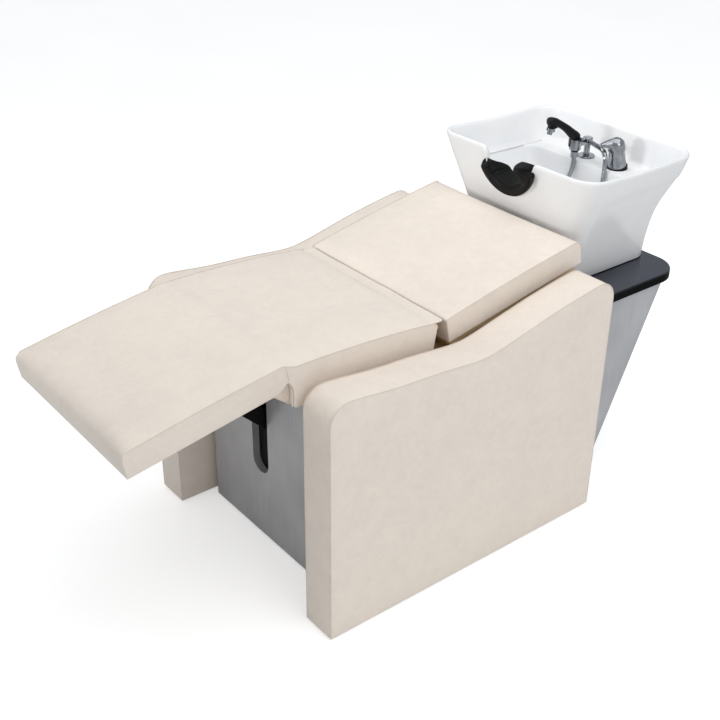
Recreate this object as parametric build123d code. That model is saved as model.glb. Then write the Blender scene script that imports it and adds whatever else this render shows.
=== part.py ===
from build123d import *
import math
import os

# Hair washing bed: an upholstered couch with a folding leg rest, between two padded
# side panels, in front of a glazed ceramic wash basin on a shelf.
# +Z is up, the feet point to -Y and the basin is at +Y, and x = 0 is the centre plane.
# The pieces are drawn with y = 0 at the front edge of the side panels. At the end they
# are all moved along Y, so that the origin is under the middle of the whole bed.

# General
body_half_width = 240
overrun = 60
soft_gap = 0.3
board = 18
glide_height = 4
glide_radius = 12
glide_y_shares = [0.17, 0.93]
glide_x_shares = [0.873, 0.58]
screw_radius = 4
screw_clearance = 0.3
bolt_head_radius = 7
bolt_head_height = 5

# Padded side panels
panel_gap = 22
panel_width = 88
panel_inner_x = body_half_width + panel_gap
panel_outer_x = panel_inner_x + panel_width
panel_length = 790
panel_height = 617
panel_corner = 45
panel_padding = 12
panel_edge_round = 5
panel_top_shares = [(0.214, 0.916), (0.346, 0.906), (0.485, 0.8905), (0.557, 0.8995),
                    (0.666, 0.932), (0.777, 0.9645), (0.894, 0.991)]
panel_front_share = 0.936
panel_front_fall_share = -0.06
panel_bolt_y_shares = [0.25, 0.8]
panel_bolt_z_shares = [0.2, 0.62]
panel_bolt_grip = 34
batten_height = 60

# Body box
front_y = 90
front_top_z = 520
body_top_z = 481
body_rear_setback = 59
body_rear_lean = 23.33
seat_deck_thickness = 22
plumbing_cut_width = 130
plumbing_cut_height = 75

# Slot for the lifting arm
slot_x = -38
slot_width = 62
slot_bottom_z = 181
slot_top_z = 440
liner_thickness = 3
liner_margin = 16

# Crown of the padded cushions, from their front end to their rear end
pad_crown_shares = [(0, 0.35), (0.25, 0.9), (0.5, 1), (0.75, 0.9), (1, 0.35)]

# Seat
seat_inset = 3
seat_half_width = body_half_width - seat_inset
seat_length = 366
seat_rear_slant = 11
seat_frame_bottom_z = 522
seat_frame_top_z = 572
seat_front_top_z = 620
seat_rear_top_z = 597
seat_skirt = 12
seat_rail = 20
seat_top_board = 12
seat_crown = 7
seat_side_bulge = 2.5
seat_waist = 3
riser_width = 60

# Leg rest, drawn level from its hinge axis and then tilted
hinge_y = -4
hinge_z = 562
leg_slope = 9.5
leg_inset = 8
leg_half_width = seat_half_width - leg_inset
leg_length = 363
leg_thickness = 56
leg_rear_start = 6
leg_rear_lean = 14
leg_crown = 5
leg_side_bulge = 2
leg_waist = 3
leg_edge_round = 12
leg_board = 15
leg_board_inset = 10
leg_travel = 75
knuckle_radius = 4
hinge_pin_radius = 2
running_gap = 0.05
hinge_leaf = 2
hinge_leaf_width = 34
hinge_inset = 19
hinge_half_length = leg_half_width - hinge_inset
knuckle_count = 7
knuckle_gap = 0.6

# Backrest
back_half_width = body_half_width
back_front_y = 388
back_front_z = 596
back_length = 408
back_slope = 10.7
back_thickness = 78
back_crown = 6
back_side_bulge = 2.5
back_waist = 3
back_edge_round = 12
back_board_inset = 12
wedge_inset = 40

# Lifting arm under the leg rest
arm_slope = 44
arm_cross_z = 338
arm_width = 50
arm_depth = 40
arm_wall = 3
arm_slide_gap = 0.5
tube_mouth = 85
tube_end = 215
arm_engaged = 60
roller_radius = 16
roller_rest_gap = 2
roller_end_gap = 0.1
roller_width = 28
roller_pin_radius = 5
fork_plate = 5
fork_eye_radius = 10
fork_gap = 0.5
wear_plate = 3
wear_plate_width = 60
wear_plate_margin = 32
motor_length = 70
motor_radius = 30
bracket_plate = 4
bracket_base = 36
bracket_far_reach = 180
bracket_near_reach = 110

# The basin's foot starts behind the backrest's end, and what it carries is placed from there
basin_setback = 61.1
basin_y = back_front_y + back_length * math.cos(math.radians(back_slope)) + basin_setback

# Shelf
shelf_overhang = 12
shelf_half_width = body_half_width + shelf_overhang
shelf_thickness = 22
shelf_rear_setback = 326
shelf_front_overlap = 150
shelf_rear_y = basin_y + shelf_rear_setback
shelf_front_y = basin_y - shelf_front_overlap
shelf_corner = 75
shelf_edge_round = 4

# Basin
gasket_thickness = 2
basin_foot_half_width = 151
basin_flare_side = 99
basin_foot_length = 315
basin_flare_front = 63
basin_flare_rear = 13
basin_foot_corner = 46
basin_flare_corner = 14
basin_rim_z = 807
basin_rim_sag = 8
basin_wall = 13
basin_deck_drop = 85
basin_deck_setback = 225
bowl_depth = 100
basin_floor_round = 26
basin_deck_lean = 14
basin_base = 16
basin_foot_rear_y = basin_y + basin_foot_length
basin_deck_z = basin_rim_z - basin_deck_drop
basin_deck_front_y = basin_y + basin_deck_setback
basin_floor_z = basin_deck_z - bowl_depth
basin_shares = [(0, 0), (0.19, 0.05), (0.39, 0.17), (0.52, 0.32), (0.65, 0.53), (0.82, 0.81), (1, 1)]
bowl_side_shares = [(0, 1), (0.12, 0.68), (0.3, 0.34), (0.62, 0.05), (1, 0)]

# Neck notch and neck rest
notch_centre_z = 800
notch_radius = 76
notch_mouth_half_width = 92
notch_mouth_drop = 14
neck_lean = 11.8
neck_rest_inner = 62
neck_rest_outer = 89
neck_rest_half_width = 31
neck_rest_groove = 11
neck_rest_round = 12
neck_rest_lip_round = 3
neck_rest_arc = 140
neck_rest_turn = 12
neck_rest_channel = 1.4
neck_rest_channel_count = 21

# Drain
drain_setback = 112
drain_y = basin_y + drain_setback
drain_bore = 22
drain_flange_radius = 34
drain_flange_thickness = 3
drain_wall = 2
strainer_radius = 21
strainer_dome = 6
strainer_hole = 2
strainer_hole_circle = 12
strainer_hole_count = 8
tailpipe_length = 150
waste_nut_radius = 33
waste_nut_height = 14
shelf_drain_clearance = 8
shelf_supply_hole = 20
trap_radius = 38
trap_height = 105
trap_wall = 3
trap_outlet_radius = 16
trap_shoulder_radius = 19
trap_shoulder_length = 14
trap_outlet_length = 48
trap_outlet_drop = 28

# Mixer tap
mixer_x = 62
mixer_setback = 258
mixer_y = basin_y + mixer_setback
mixer_lean = 11
mixer_turn = -25
mixer_gasket_radius = 26
mixer_gasket_height = 6
mixer_body_radius = 23
mixer_neck_radius = 19
mixer_body_height = 42
mixer_bore = 15
cartridge_radius = 14.9
cartridge_head = 6
cartridge_stem_radius = 5
lever_radius = 21
lever_height = 28
lever_round = 9
lever_wall = 3
lever_reach = 46
lever_tip_width = 12
lever_tip_thickness = 6
lever_rise = 4
lever_pivot_radius = 1.5
lever_pivot_length = 12
shank_radius = 13
shank_drop = 52
shank_nut_radius = 19
shank_nut_height = 8
inlet_radius = 4.2
inlet_offset = 6.2
inlet_depth = 16

# Handset holder
post_x = -42
post_setback = 260
post_y = basin_y + post_setback
post_radius = 8
post_flange_radius = 22
post_flange_height = 5
post_height = 46
holder_radius = 13
holder_height = 18
holder_reach = 46
holder_arm_width = 14
collar_radius = 15
collar_height = 26
collar_bore = 11.6
insert_wall = 1.6
insert_rim = 2
collar_slot_width = 11
collar_slot_depth = 19
collar_slot_yaw = -38
rib_overhang = 2
post_tail_radius = 7
post_tail_drop = 40
post_nut_radius = 16
swan_radius = 6
swan_crest_share = 0.68
swan_rise = 6
swan_shoulder = 4
swan_bend = 26

# Handset
spigot_radius = 9.7
spigot_below = 6
handle_root = 5
handle_root_radius = 13
handle_radius = 11
handle_mid = (30, 32)
handle_end = (70, 44)
handle_yaw = -19
head_radius = 15
head_height = 24
head_lean = 14
head_round = 5
nozzle_ring_radius = 11
nozzle_ring_height = 6
nozzle_tip_radius = 7
nozzle_tip_height = 9
hose_nut_radius = 9.4

# Shower hose: its route from the swan neck, over the basin floor, to the handset, as x,
# y from the basin's foot and z from the tap deck
hose_radius = 6
hose_groove = 0.5
hose_bore = 4
hose_rib_count = 140
hose_rib_shares = [(0, 1), (0.2, 0), (0.6, 0), (0.8, 1)]
hose_arc_share = 0.45
hose_route = [(60, 213, 6), (60, 213, -30), (68, 196, -64), (86, 162, -88), (100, 122, -93.4),
              (92, 78, -93.4), (56, 50, -93.4), (8, 42, -93.4), (-42, 50, -93.4),
              (-82, 76, -93.4), (-98, 116, -93.4), (-88, 156, -90), (-66, 180, -74),
              (-44, 204, -45), (-42, 214, -16), (-42, 214, 8)]


def block(x0, x1, y0, y1, z0, z1):
    """A box between two corners."""
    centre = Pos((x0 + x1) / 2, (y0 + y1) / 2, (z0 + z1) / 2)
    return centre * Box(abs(x1 - x0), abs(y1 - y0), abs(z1 - z0))


def slab(points, x0, x1):
    """A side outline of (y, z) points, as thick as from x0 to x1."""
    outline = make_face(Polyline(*points, close=True))
    return extrude(Plane.YZ.offset(x0) * outline, amount=x1 - x0)


def rod_z(radius, x, y, z0, z1):
    """An upright cylinder."""
    return Pos(x, y, (z0 + z1) / 2) * Cylinder(radius, abs(z1 - z0))


def rod_x(radius, x0, x1, y, z):
    """A cylinder along X."""
    return Pos((x0 + x1) / 2, y, z) * Rot(0, 90, 0) * Cylinder(radius, abs(x1 - x0))


def mirrored(shape):
    """The same piece on the other side of the centre plane."""
    return mirror(shape, about=Plane.YZ)


def group(*shapes):
    """Separate solids kept in one node."""
    solids = []
    for shape in shapes:
        solids += shape.solids()
    return Compound(solids)


# Side panels

def panel_outline(inset):
    """The side panel's outline, drawn in by an inset at its front, rear and top."""
    low = glide_height
    corner = panel_corner - inset
    front_z = panel_height * panel_front_share - inset
    top_z = panel_height - inset
    length = panel_length - 2 * inset
    start = (inset + corner, front_z)
    end = (inset + length - corner, top_z)
    crest = [(inset + length * y, (panel_height * z) - inset) for y, z in panel_top_shares]
    back_low = (inset + length, top_z - corner)
    front_low = (inset, front_z - corner)
    edges = [
        Line((inset, low), front_low),
        RadiusArc(front_low, start, corner),
        Spline(start, *crest, end, tangents=[(1, panel_front_fall_share), (1, 0)]),
        RadiusArc(end, back_low, corner),
        Line(back_low, (inset + length, low)),
        Line((inset + length, low), (inset, low)),
    ]
    return make_face(edges)


def panel_bolt_places():
    """Where the bolts cross each side panel, as (y, z)."""
    return [(panel_length * y, panel_height * z) for y in panel_bolt_y_shares for z in panel_bolt_z_shares]


def drilled(piece, x0, x1):
    """A piece with clearance holes for one side panel's bolts."""
    for y, z in panel_bolt_places():
        piece -= rod_x(screw_radius + screw_clearance, x0, x1, y, z)
    return piece


def panel_core():
    """The board box inside a side panel, blind drilled for its bolts."""
    x0 = panel_inner_x + panel_padding
    x1 = panel_outer_x - panel_padding
    core = extrude(Plane.YZ.offset(x0) * panel_outline(panel_padding), amount=x1 - x0)
    return drilled(core, x0 - overrun, x0 + panel_bolt_grip)


def panel_cover():
    """The padded upholstery around a side panel's core, open at the bottom."""
    width = panel_outer_x - panel_inner_x
    cover = extrude(Plane.YZ.offset(panel_inner_x) * panel_outline(0), amount=width)
    sides = cover.faces().sort_by(Axis.X)
    low = glide_height + panel_edge_round
    rims = [edge for edge in sides[0].edges() + sides[-1].edges() if edge.center().Z > low]
    cover = fillet(rims, panel_edge_round)
    x0 = panel_inner_x + panel_padding
    x1 = panel_outer_x - panel_padding
    hollow = extrude(Plane.YZ.offset(x0) * panel_outline(panel_padding), amount=x1 - x0)
    return drilled(cover - hollow, panel_inner_x - overrun, x0 + overrun)


def panel_battens():
    """Wooden battens between the body's sides and the side panels."""
    battens = []
    y_low, y_high = (panel_length * share for share in panel_bolt_y_shares)
    for share in panel_bolt_z_shares:
        z = panel_height * share
        half = batten_height / 2
        rail = block(body_half_width, panel_inner_x, y_low - half, y_high + half, z - half, z + half)
        rail = drilled(rail, body_half_width - overrun, panel_inner_x + overrun)
        battens += [rail, mirrored(rail)]
    return group(*battens)


def panel_bolts():
    """One panel's bolts, from inside the body through side and batten into its core."""
    bolts = []
    x0 = body_half_width - board
    x1 = panel_inner_x + panel_padding + panel_bolt_grip
    for y, z in panel_bolt_places():
        bolt = rod_x(screw_radius, x0, x1, y, z)
        bolts.append(bolt + rod_x(bolt_head_radius, x0 - bolt_head_height, x0, y, z))
    return group(*bolts)


# Body box

rear_lean_tangent = math.tan(math.radians(body_rear_lean))
rear_board_depth = board / math.cos(math.radians(body_rear_lean))


def rear_y(z):
    """Where the slanted rear face lies at a height."""
    return basin_y + body_rear_setback + z * rear_lean_tangent


def body_side():
    """One side of the body box."""
    low = glide_height
    points = [(front_y + board, low), (rear_y(low) - rear_board_depth, low),
              (rear_y(body_top_z) - rear_board_depth, body_top_z), (front_y + board, body_top_z)]
    side = slab(points, body_half_width - board, body_half_width)
    return drilled(side, body_half_width - overrun, body_half_width + overrun)


def rear_panel():
    """The slanted laminate board behind the body box, cut out at its top for the plumbing."""
    low = glide_height
    points = [(rear_y(low) - rear_board_depth, low), (rear_y(low), low),
              (rear_y(body_top_z), body_top_z), (rear_y(body_top_z) - rear_board_depth, body_top_z)]
    panel = slab(points, -body_half_width, body_half_width)
    x0 = mixer_x / 2 - plumbing_cut_width / 2
    y = rear_y(body_top_z)
    return panel - block(x0, x0 + plumbing_cut_width, y - plumbing_cut_width, y + overrun,
                         body_top_z - plumbing_cut_height, body_top_z + overrun)


def slot_cut(depth_from, depth_to, grow):
    """The upright round-ended slot, as a cutting solid."""
    half = slot_width / 2 + grow
    low = slot_bottom_z + slot_width / 2
    high = slot_top_z - slot_width / 2
    shaft = block(slot_x - half, slot_x + half, depth_from, depth_to, low, high)
    for z in (low, high):
        middle = (depth_from + depth_to) / 2
        shaft += Pos(slot_x, middle, z) * Rot(90, 0, 0) * Cylinder(half, depth_to - depth_from)
    return shaft


def front_panel():
    """The laminate board under the seat's front, with the slot for the lifting arm."""
    face = block(-body_half_width, body_half_width, front_y, front_y + board, glide_height, front_top_z)
    return face - slot_cut(front_y - overrun, front_y + board + overrun, 0)


def slot_liner():
    """The black plate behind the slot, open where the arm's tube passes."""
    y0 = front_y + board
    y1 = y0 + liner_thickness
    half = slot_width / 2 + liner_margin
    z0 = slot_bottom_z - liner_margin
    z1 = slot_top_z + liner_margin
    plate = block(slot_x - half, slot_x + half, y0, y1, z0, z1)
    return plate - in_arm(arm_bar(arm_width + 2 * liner_thickness, arm_depth + 2 * liner_thickness,
                                  -tube_end, tube_mouth))


def floor_board():
    """The board across the bottom of the body box."""
    x = body_half_width - board
    low = glide_height
    return block(-x, x, front_y + board, rear_y(low) - rear_board_depth, low, low + board)


def seat_deck():
    """The board under the seat, level with the shelf."""
    x = body_half_width
    return block(-x, x, front_y + board, shelf_front_y, body_top_z, body_top_z + seat_deck_thickness)


def shelf_board():
    """The black gloss shelf under the basin, with holes for the drain and the supply tails."""
    x = shelf_half_width
    shelf = block(-x, x, shelf_front_y, shelf_rear_y, body_top_z, body_top_z + shelf_thickness)
    rear_corners = shelf.edges().filter_by(Axis.Z).group_by(Axis.Y)[-1]
    shelf = fillet(rear_corners, shelf_corner)
    top_rim = shelf.faces().sort_by(Axis.Z)[-1].edges()
    shelf = fillet(top_rim, shelf_edge_round)
    hole = waste_nut_radius + shelf_drain_clearance
    shelf -= rod_z(hole, 0, drain_y, body_top_z - overrun, body_top_z + overrun)
    return shelf - rod_z(shelf_supply_hole, mixer_x, mixer_y, body_top_z - overrun, body_top_z + overrun)


def floor_glides():
    """Plastic glides under the side panels and the body box."""
    glides = []
    length = rear_y(0)
    for y_share in glide_y_shares:
        for x_share in glide_x_shares:
            x = panel_outer_x * x_share
            y = length * y_share if x < body_half_width else panel_length * y_share
            glide = rod_z(glide_radius, x, y, 0, glide_height)
            glides += [glide, mirrored(glide)]
    return group(*glides)


# Seat

def crowned_pad(length, half_width, height, crown, bulge, waist):
    """A pad along +Y from y = 0, on z = 0, with a crowned top and drawn-in sides."""
    sections = []
    for share, crown_share in pad_crown_shares:
        half = half_width - waist * crown_share
        lift = height + crown * crown_share
        outline = make_face([
            Line((-half, 0), (half, 0)),
            ThreePointArc((half, 0), (half + bulge, height / 2), (half, height)),
            ThreePointArc((half, height), (0, lift), (-half, height)),
            ThreePointArc((-half, height), (-half - bulge, height / 2), (-half, 0)),
        ])
        sections.append(Plane.XZ.offset(-length * share) * outline)
    return loft(sections)


seat_fall = math.degrees(math.atan((seat_front_top_z - seat_rear_top_z) / seat_length))


def seat_cushion():
    """The seat's foam and cover, with a skirt down the sides of its frame."""
    height = seat_front_top_z - seat_frame_bottom_z
    pad = crowned_pad(seat_length + overrun, seat_half_width, height + overrun, seat_crown,
                      seat_side_bulge, seat_waist)
    pad = Pos(0, 0, seat_front_top_z) * Rot(-seat_fall, 0, 0) * Pos(0, 0, -height - overrun) * pad
    wide = seat_half_width + overrun
    top = seat_front_top_z + overrun
    low = seat_frame_bottom_z
    deep = low - 2 * overrun
    pad -= block(-wide, wide, -2 * overrun, 0, deep, top)
    pad -= block(-wide, wide, -2 * overrun, seat_length + 2 * overrun, deep, low)
    tail = [(seat_length - seat_rear_slant, deep), (seat_length - seat_rear_slant, low),
            (seat_length, seat_rear_top_z), (seat_length, top),
            (seat_length + 2 * overrun, top), (seat_length + 2 * overrun, deep)]
    pad -= slab(tail, -wide, wide)
    gap = soft_gap
    x = seat_half_width - seat_skirt + gap
    return pad - block(-x, x, seat_skirt - gap, seat_back_y() + gap, deep, seat_frame_top_z + gap)


def seat_back_y():
    """Where the seat's frame ends."""
    return seat_length - seat_rear_slant - seat_skirt


def seat_rails():
    """The wooden box frame under the seat, four rails."""
    x = seat_half_width - seat_skirt
    z0 = seat_frame_bottom_z
    z1 = seat_frame_top_z - seat_top_board
    y0 = seat_skirt
    y1 = seat_back_y()
    side = block(x - seat_rail, x, y0, y1, z0, z1)
    front = block(-x + seat_rail, x - seat_rail, y0, y0 + seat_rail, z0, z1)
    rear = block(-x + seat_rail, x - seat_rail, y1 - seat_rail, y1, z0, z1)
    return group(side, mirrored(side), front, rear)


def seat_board():
    """The plywood on the seat's rails, under the foam."""
    x = seat_half_width - seat_skirt
    return block(-x, x, seat_skirt, seat_back_y(), seat_frame_top_z - seat_top_board, seat_frame_top_z)


def seat_risers():
    """Two battens between the deck and the seat's rails."""
    x = seat_half_width - seat_skirt
    z0 = body_top_z + seat_deck_thickness
    front = block(-x, x, front_y + board, front_y + board + riser_width, z0, seat_frame_bottom_z)
    rear = block(-x, x, seat_back_y() - riser_width, seat_back_y(), z0, seat_frame_bottom_z)
    return group(front, rear)


# Leg rest

def in_leg(shape):
    """From the leg rest's own level frame, with the hinge axis at its origin, to the bed."""
    return Pos(0, hinge_y, hinge_z) * Rot(leg_slope, 0, 0) * shape


leg_under = knuckle_radius


def legrest_cushion():
    """The leg rest's foam and cover, hollow below for its board."""
    pad = crowned_pad(leg_length + leg_rear_lean, leg_half_width, leg_thickness, leg_crown,
                      leg_side_bulge, leg_waist)
    pad = Pos(0, -leg_length, leg_under) * pad
    wide = leg_half_width + overrun
    tail = [(-leg_rear_start, leg_under), (leg_rear_lean - leg_rear_start, leg_under + leg_thickness),
            (leg_rear_lean - leg_rear_start, leg_under + leg_thickness + overrun),
            (leg_rear_lean + overrun, leg_under + leg_thickness + overrun),
            (leg_rear_lean + overrun, -overrun), (-leg_rear_start, -overrun)]
    pad -= slab(tail, -wide, wide)
    foot = pad.faces().sort_by(Axis.Y)[0].edges().sort_by(Axis.Z)[-1]
    pad = fillet(foot, leg_edge_round)
    x = leg_half_width - leg_board_inset + soft_gap
    y0 = -leg_length + leg_board_inset - soft_gap
    return pad - block(-x, x, y0, overrun, -overrun, leg_under + leg_board + soft_gap)


def legrest_board():
    """The plywood board that carries the leg rest's foam."""
    x = leg_half_width - leg_board_inset
    return block(-x, x, -leg_length + leg_board_inset, -leg_rear_start, leg_under, leg_under + leg_board)


def knuckle_spans():
    """The hinge's knuckles from left to right, as (low x, high x)."""
    pitch = 2 * hinge_half_length / knuckle_count
    spans = []
    for index in range(knuckle_count):
        low = -hinge_half_length + index * pitch
        spans.append((low + knuckle_gap / 2, low + pitch - knuckle_gap / 2))
    return spans


def hinge_leaf_body():
    """The hinge leaf on the seat's front face, with every other knuckle."""
    leaf_y = -soft_gap
    leaf = block(-hinge_half_length, hinge_half_length, leaf_y - hinge_leaf, leaf_y,
                 hinge_z - hinge_leaf_width, hinge_z)
    for index, (low, high) in enumerate(knuckle_spans()):
        if index % 2 == 0:
            leaf += rod_x(knuckle_radius, low, high, hinge_y, hinge_z)
        else:
            leaf -= rod_x(knuckle_radius + knuckle_gap, low - knuckle_gap, high + knuckle_gap,
                          hinge_y, hinge_z)
    return leaf - rod_x(hinge_pin_radius, -hinge_half_length, hinge_half_length, hinge_y, hinge_z)


def hinge_leaf_legrest():
    """The hinge leaf under the leg rest's board, with the knuckles between."""
    high_z = leg_under - soft_gap
    leaf = block(-hinge_half_length, hinge_half_length, -hinge_leaf_width, 0, high_z - hinge_leaf, high_z)
    for index, (low, high) in enumerate(knuckle_spans()):
        if index % 2 == 1:
            leaf += rod_x(knuckle_radius, low, high, 0, 0)
        else:
            leaf -= rod_x(knuckle_radius + knuckle_gap, low - knuckle_gap, high + knuckle_gap, 0, 0)
    leaf -= rod_x(hinge_pin_radius + running_gap, -hinge_half_length, hinge_half_length, 0, 0)
    return in_leg(leaf)


def hinge_pin():
    """The hinge's pin, fixed in the seat's knuckles."""
    return rod_x(hinge_pin_radius, -hinge_half_length, hinge_half_length, hinge_y, hinge_z)


# Lifting arm

def in_arm(shape):
    """From the arm's own frame, +Z outwards along it and +Y over it, to the bed."""
    return Pos(slot_x, front_y, arm_cross_z) * Rot(90 - arm_slope, 0, 0) * shape


def arm_bar(width, depth, z0, z1):
    """A square bar along the arm."""
    return block(-width / 2, width / 2, -depth / 2, depth / 2, z0, z1)


def roller_reach(turn, gap):
    """How far out the roller lies when the leg rest is turned down by an angle, at a gap."""
    tilt = math.radians(leg_slope + turn)
    drop = roller_radius + gap + wear_plate - leg_under
    along = math.sin(tilt) * (front_y - hinge_y) - math.cos(tilt) * (arm_cross_z - hinge_z)
    return (along - drop) / math.sin(tilt + math.radians(arm_slope))


roller_out = roller_reach(0, roller_rest_gap)
arm_travel = roller_out - roller_reach(leg_travel, roller_end_gap)
rod_width = arm_width - 2 * arm_wall - 2 * arm_slide_gap
rod_depth = arm_depth - 2 * arm_wall - 2 * arm_slide_gap


def arm_tube():
    """The fixed square tube that guides the arm."""
    tube = arm_bar(arm_width, arm_depth, -tube_end, tube_mouth)
    bore = arm_bar(arm_width - 2 * arm_wall, arm_depth - 2 * arm_wall, -tube_end + arm_wall,
                   tube_mouth + overrun)
    return in_arm(tube - bore)


def arm_rod():
    """The sliding arm, with a fork at its outer end for the roller."""
    shoulder = roller_out - roller_radius - fork_plate
    rod = arm_bar(rod_width, rod_depth, tube_mouth - arm_engaged, shoulder)
    inner = arm_bar(rod_width - 2 * arm_wall, rod_depth - 2 * arm_wall, tube_mouth - arm_engaged - overrun,
                    shoulder - fork_plate)
    rod -= inner
    x0 = roller_width / 2 + fork_gap
    for sign in (-1, 1):
        x1 = x0 + fork_plate
        plate = block(sign * x0, sign * x1, -fork_eye_radius, fork_eye_radius, shoulder, roller_out)
        rod += plate + rod_x(fork_eye_radius, sign * x0, sign * x1, 0, roller_out)
    rod -= rod_x(roller_pin_radius, -rod_width, rod_width, 0, roller_out)
    return in_arm(rod)


def roller_pin():
    """The pin across the fork."""
    half = roller_width / 2 + fork_gap + fork_plate
    return in_arm(rod_x(roller_pin_radius, -half, half, 0, roller_out))


def push_roller():
    """The roller that carries the leg rest."""
    half = roller_width / 2
    roller = rod_x(roller_radius, -half, half, 0, roller_out)
    roller = chamfer(roller.edges().filter_by(GeomType.CIRCLE), fork_gap)
    return in_arm(roller - rod_x(roller_pin_radius + running_gap, -half, half, 0, roller_out))


def wear_strip():
    """The steel strip under the leg rest's board, where the roller bears."""
    low, high = leg_contact()
    half = wear_plate_width / 2
    strip = block(slot_x - half, slot_x + half, -high - wear_plate_margin, -low + wear_plate_margin,
                  leg_under - wear_plate, leg_under)
    return in_leg(strip)


def leg_contact():
    """The nearest and farthest places of the roller along the leg rest."""
    places = []
    for turn, gap in ((0, roller_rest_gap), (leg_travel, roller_end_gap)):
        reach = roller_reach(turn, gap)
        slope = math.radians(arm_slope)
        dy = front_y - reach * math.cos(slope) - hinge_y
        dz = arm_cross_z + reach * math.sin(slope) - hinge_z
        tilt = math.radians(leg_slope + turn)
        places.append(-dy * math.cos(tilt) - dz * math.sin(tilt))
    return min(places), max(places)


def drive_motor():
    """The motor and screw drive at the tube's lower end."""
    motor = arm_bar(arm_width, arm_depth, -tube_end - motor_length, -tube_end)
    half = arm_width / 2
    return in_arm(motor + rod_x(motor_radius, -half, half, -arm_depth / 2, -tube_end - motor_length / 2))


def arm_bracket():
    """Two welded cheeks with feet, which hold the tube on the floor board."""
    low = glide_height + board
    slope = math.radians(arm_slope)
    y0 = front_y + bracket_near_reach * math.cos(slope)
    y1 = front_y + bracket_far_reach * math.cos(slope)
    z0 = arm_cross_z - bracket_near_reach * math.sin(slope)
    z1 = arm_cross_z - bracket_far_reach * math.sin(slope)
    rise = arm_depth / 2 / math.cos(slope)
    cheek_points = [(y0, low), (y1, low), (y1, z1 + rise), (y0, z0 + rise)]
    inner = arm_width / 2
    cheeks = []
    for sign in (-1, 1):
        x0 = slot_x + sign * inner
        x1 = x0 + sign * bracket_plate
        cheek = slab(cheek_points, min(x0, x1), max(x0, x1))
        foot_x = x0 + sign * bracket_base
        foot = block(min(x0, foot_x), max(x0, foot_x), y0, y1, low, low + bracket_plate)
        cheeks.append(cheek + foot)
    return group(*cheeks)


# Backrest

def in_back(shape):
    """From the backrest's own level frame, its front top edge at the origin, to the bed."""
    return Pos(0, back_front_y, back_front_z) * Rot(back_slope, 0, 0) * shape


def backrest_cushion():
    """The backrest's foam and cover."""
    height = back_thickness - board
    pad = Pos(0, 0, -height) * crowned_pad(back_length, back_half_width, height, back_crown,
                                           back_side_bulge, back_waist)
    ends = [pad.faces().sort_by(Axis.Y)[0], pad.faces().sort_by(Axis.Y)[-1]]
    rims = [face.edges().sort_by(Axis.Z)[-1] for face in ends]
    return in_back(fillet(rims, back_edge_round))


def backrest_board():
    """The plywood under the backrest's foam."""
    x = back_half_width - back_board_inset
    low = -back_thickness
    y1 = back_length - back_board_inset
    return in_back(block(-x, x, back_board_inset, y1, low, low + board - soft_gap))


def backrest_wedges():
    """Two tapered boards that hold the backrest's slope on the deck and shelf."""
    slope = math.radians(back_slope)
    low = body_top_z + seat_deck_thickness
    drop = back_thickness / math.cos(slope)
    y0 = back_front_y + wedge_inset
    y1 = back_front_y + back_length * math.cos(slope) - wedge_inset

    def under(y):
        return back_front_z + (y - back_front_y) * math.tan(slope) - drop

    points = [(y0, low), (y1, low), (y1, under(y1)), (y0, under(y0))]
    x = back_half_width - back_board_inset - wedge_inset
    wedge = slab(points, x - board, x)
    return group(wedge, mirrored(wedge))


# Basin

basin_low_z = body_top_z + shelf_thickness + gasket_thickness


def height_share(z):
    """A height in the basin as a share, from 0 at its foot to 1 at its rim. Its front flares evenly by it."""
    return (z - basin_low_z) / (basin_rim_z - basin_low_z)


def flare_at(z):
    """How far the basin's rear has flared at a height, slowly at its foot and fast at its rim."""
    height = height_share(z)
    for (h0, f0), (h1, f1) in zip(basin_shares, basin_shares[1:]):
        if height <= h1:
            return f0 + (f1 - f0) * (height - h0) / (h1 - h0)
    (h0, f0), (h1, f1) = basin_shares[-2:]
    return f1 + (f1 - f0) * (height - h1) / (h1 - h0)


def rounded(front_half, rear_half, y0, y1, corner, z):
    """A level outline with round corners at a height, as wide as its halves say at its front and rear."""
    outline = make_face(Polyline((-front_half, y0), (front_half, y0), (rear_half, y1), (-rear_half, y1),
                                 close=True))
    return Pos(0, 0, z) * fillet(outline.vertices(), corner)


def basin_section(z, inset):
    """The basin's outer outline at a height, drawn in by an inset."""
    flare = flare_at(z)
    return rounded(basin_foot_half_width + basin_flare_side * height_share(z) - inset,
                   basin_foot_half_width + basin_flare_side * flare - inset,
                   basin_y - basin_flare_front * height_share(z) + inset,
                   basin_foot_rear_y + basin_flare_rear * flare - inset,
                   basin_foot_corner + basin_flare_corner * flare - inset, z)


def basin_outside():
    """The flared outside as one solid block."""
    rim = basin_rim_z + basin_rim_sag
    heights = [basin_low_z + (rim - basin_low_z) * h for h, _ in basin_shares]
    return loft([basin_section(z, 0) for z in heights])


def basin_upper_hollow():
    """The open space above the tap deck."""
    rim = basin_rim_z + basin_rim_sag + overrun
    heights = [basin_deck_z, (basin_deck_z + basin_rim_z) / 2, basin_rim_z, rim]
    return loft([basin_section(z, basin_wall) for z in heights])


def bowl_section(z, inset):
    """The bowl's inside outline at a height below the tap deck."""
    flare = flare_at(z)
    depth = (basin_deck_z - z) / (basin_deck_z - basin_floor_z)
    return rounded(basin_foot_half_width + basin_flare_side * height_share(z) - basin_wall - inset,
                   basin_foot_half_width + basin_flare_side * flare - basin_wall - inset,
                   basin_y - basin_flare_front * height_share(z) + basin_wall + inset,
                   basin_deck_front_y - basin_deck_lean * depth - inset,
                   basin_foot_corner - inset / 2, z)


def bowl_hollow():
    """The bowl below the tap deck, rounded to its floor."""
    deep = basin_deck_z - basin_floor_z
    sections = []
    for share, inset_share in bowl_side_shares:
        sections.append(bowl_section(basin_floor_z + deep * share, basin_floor_round * inset_share))
    return loft(sections)


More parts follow.
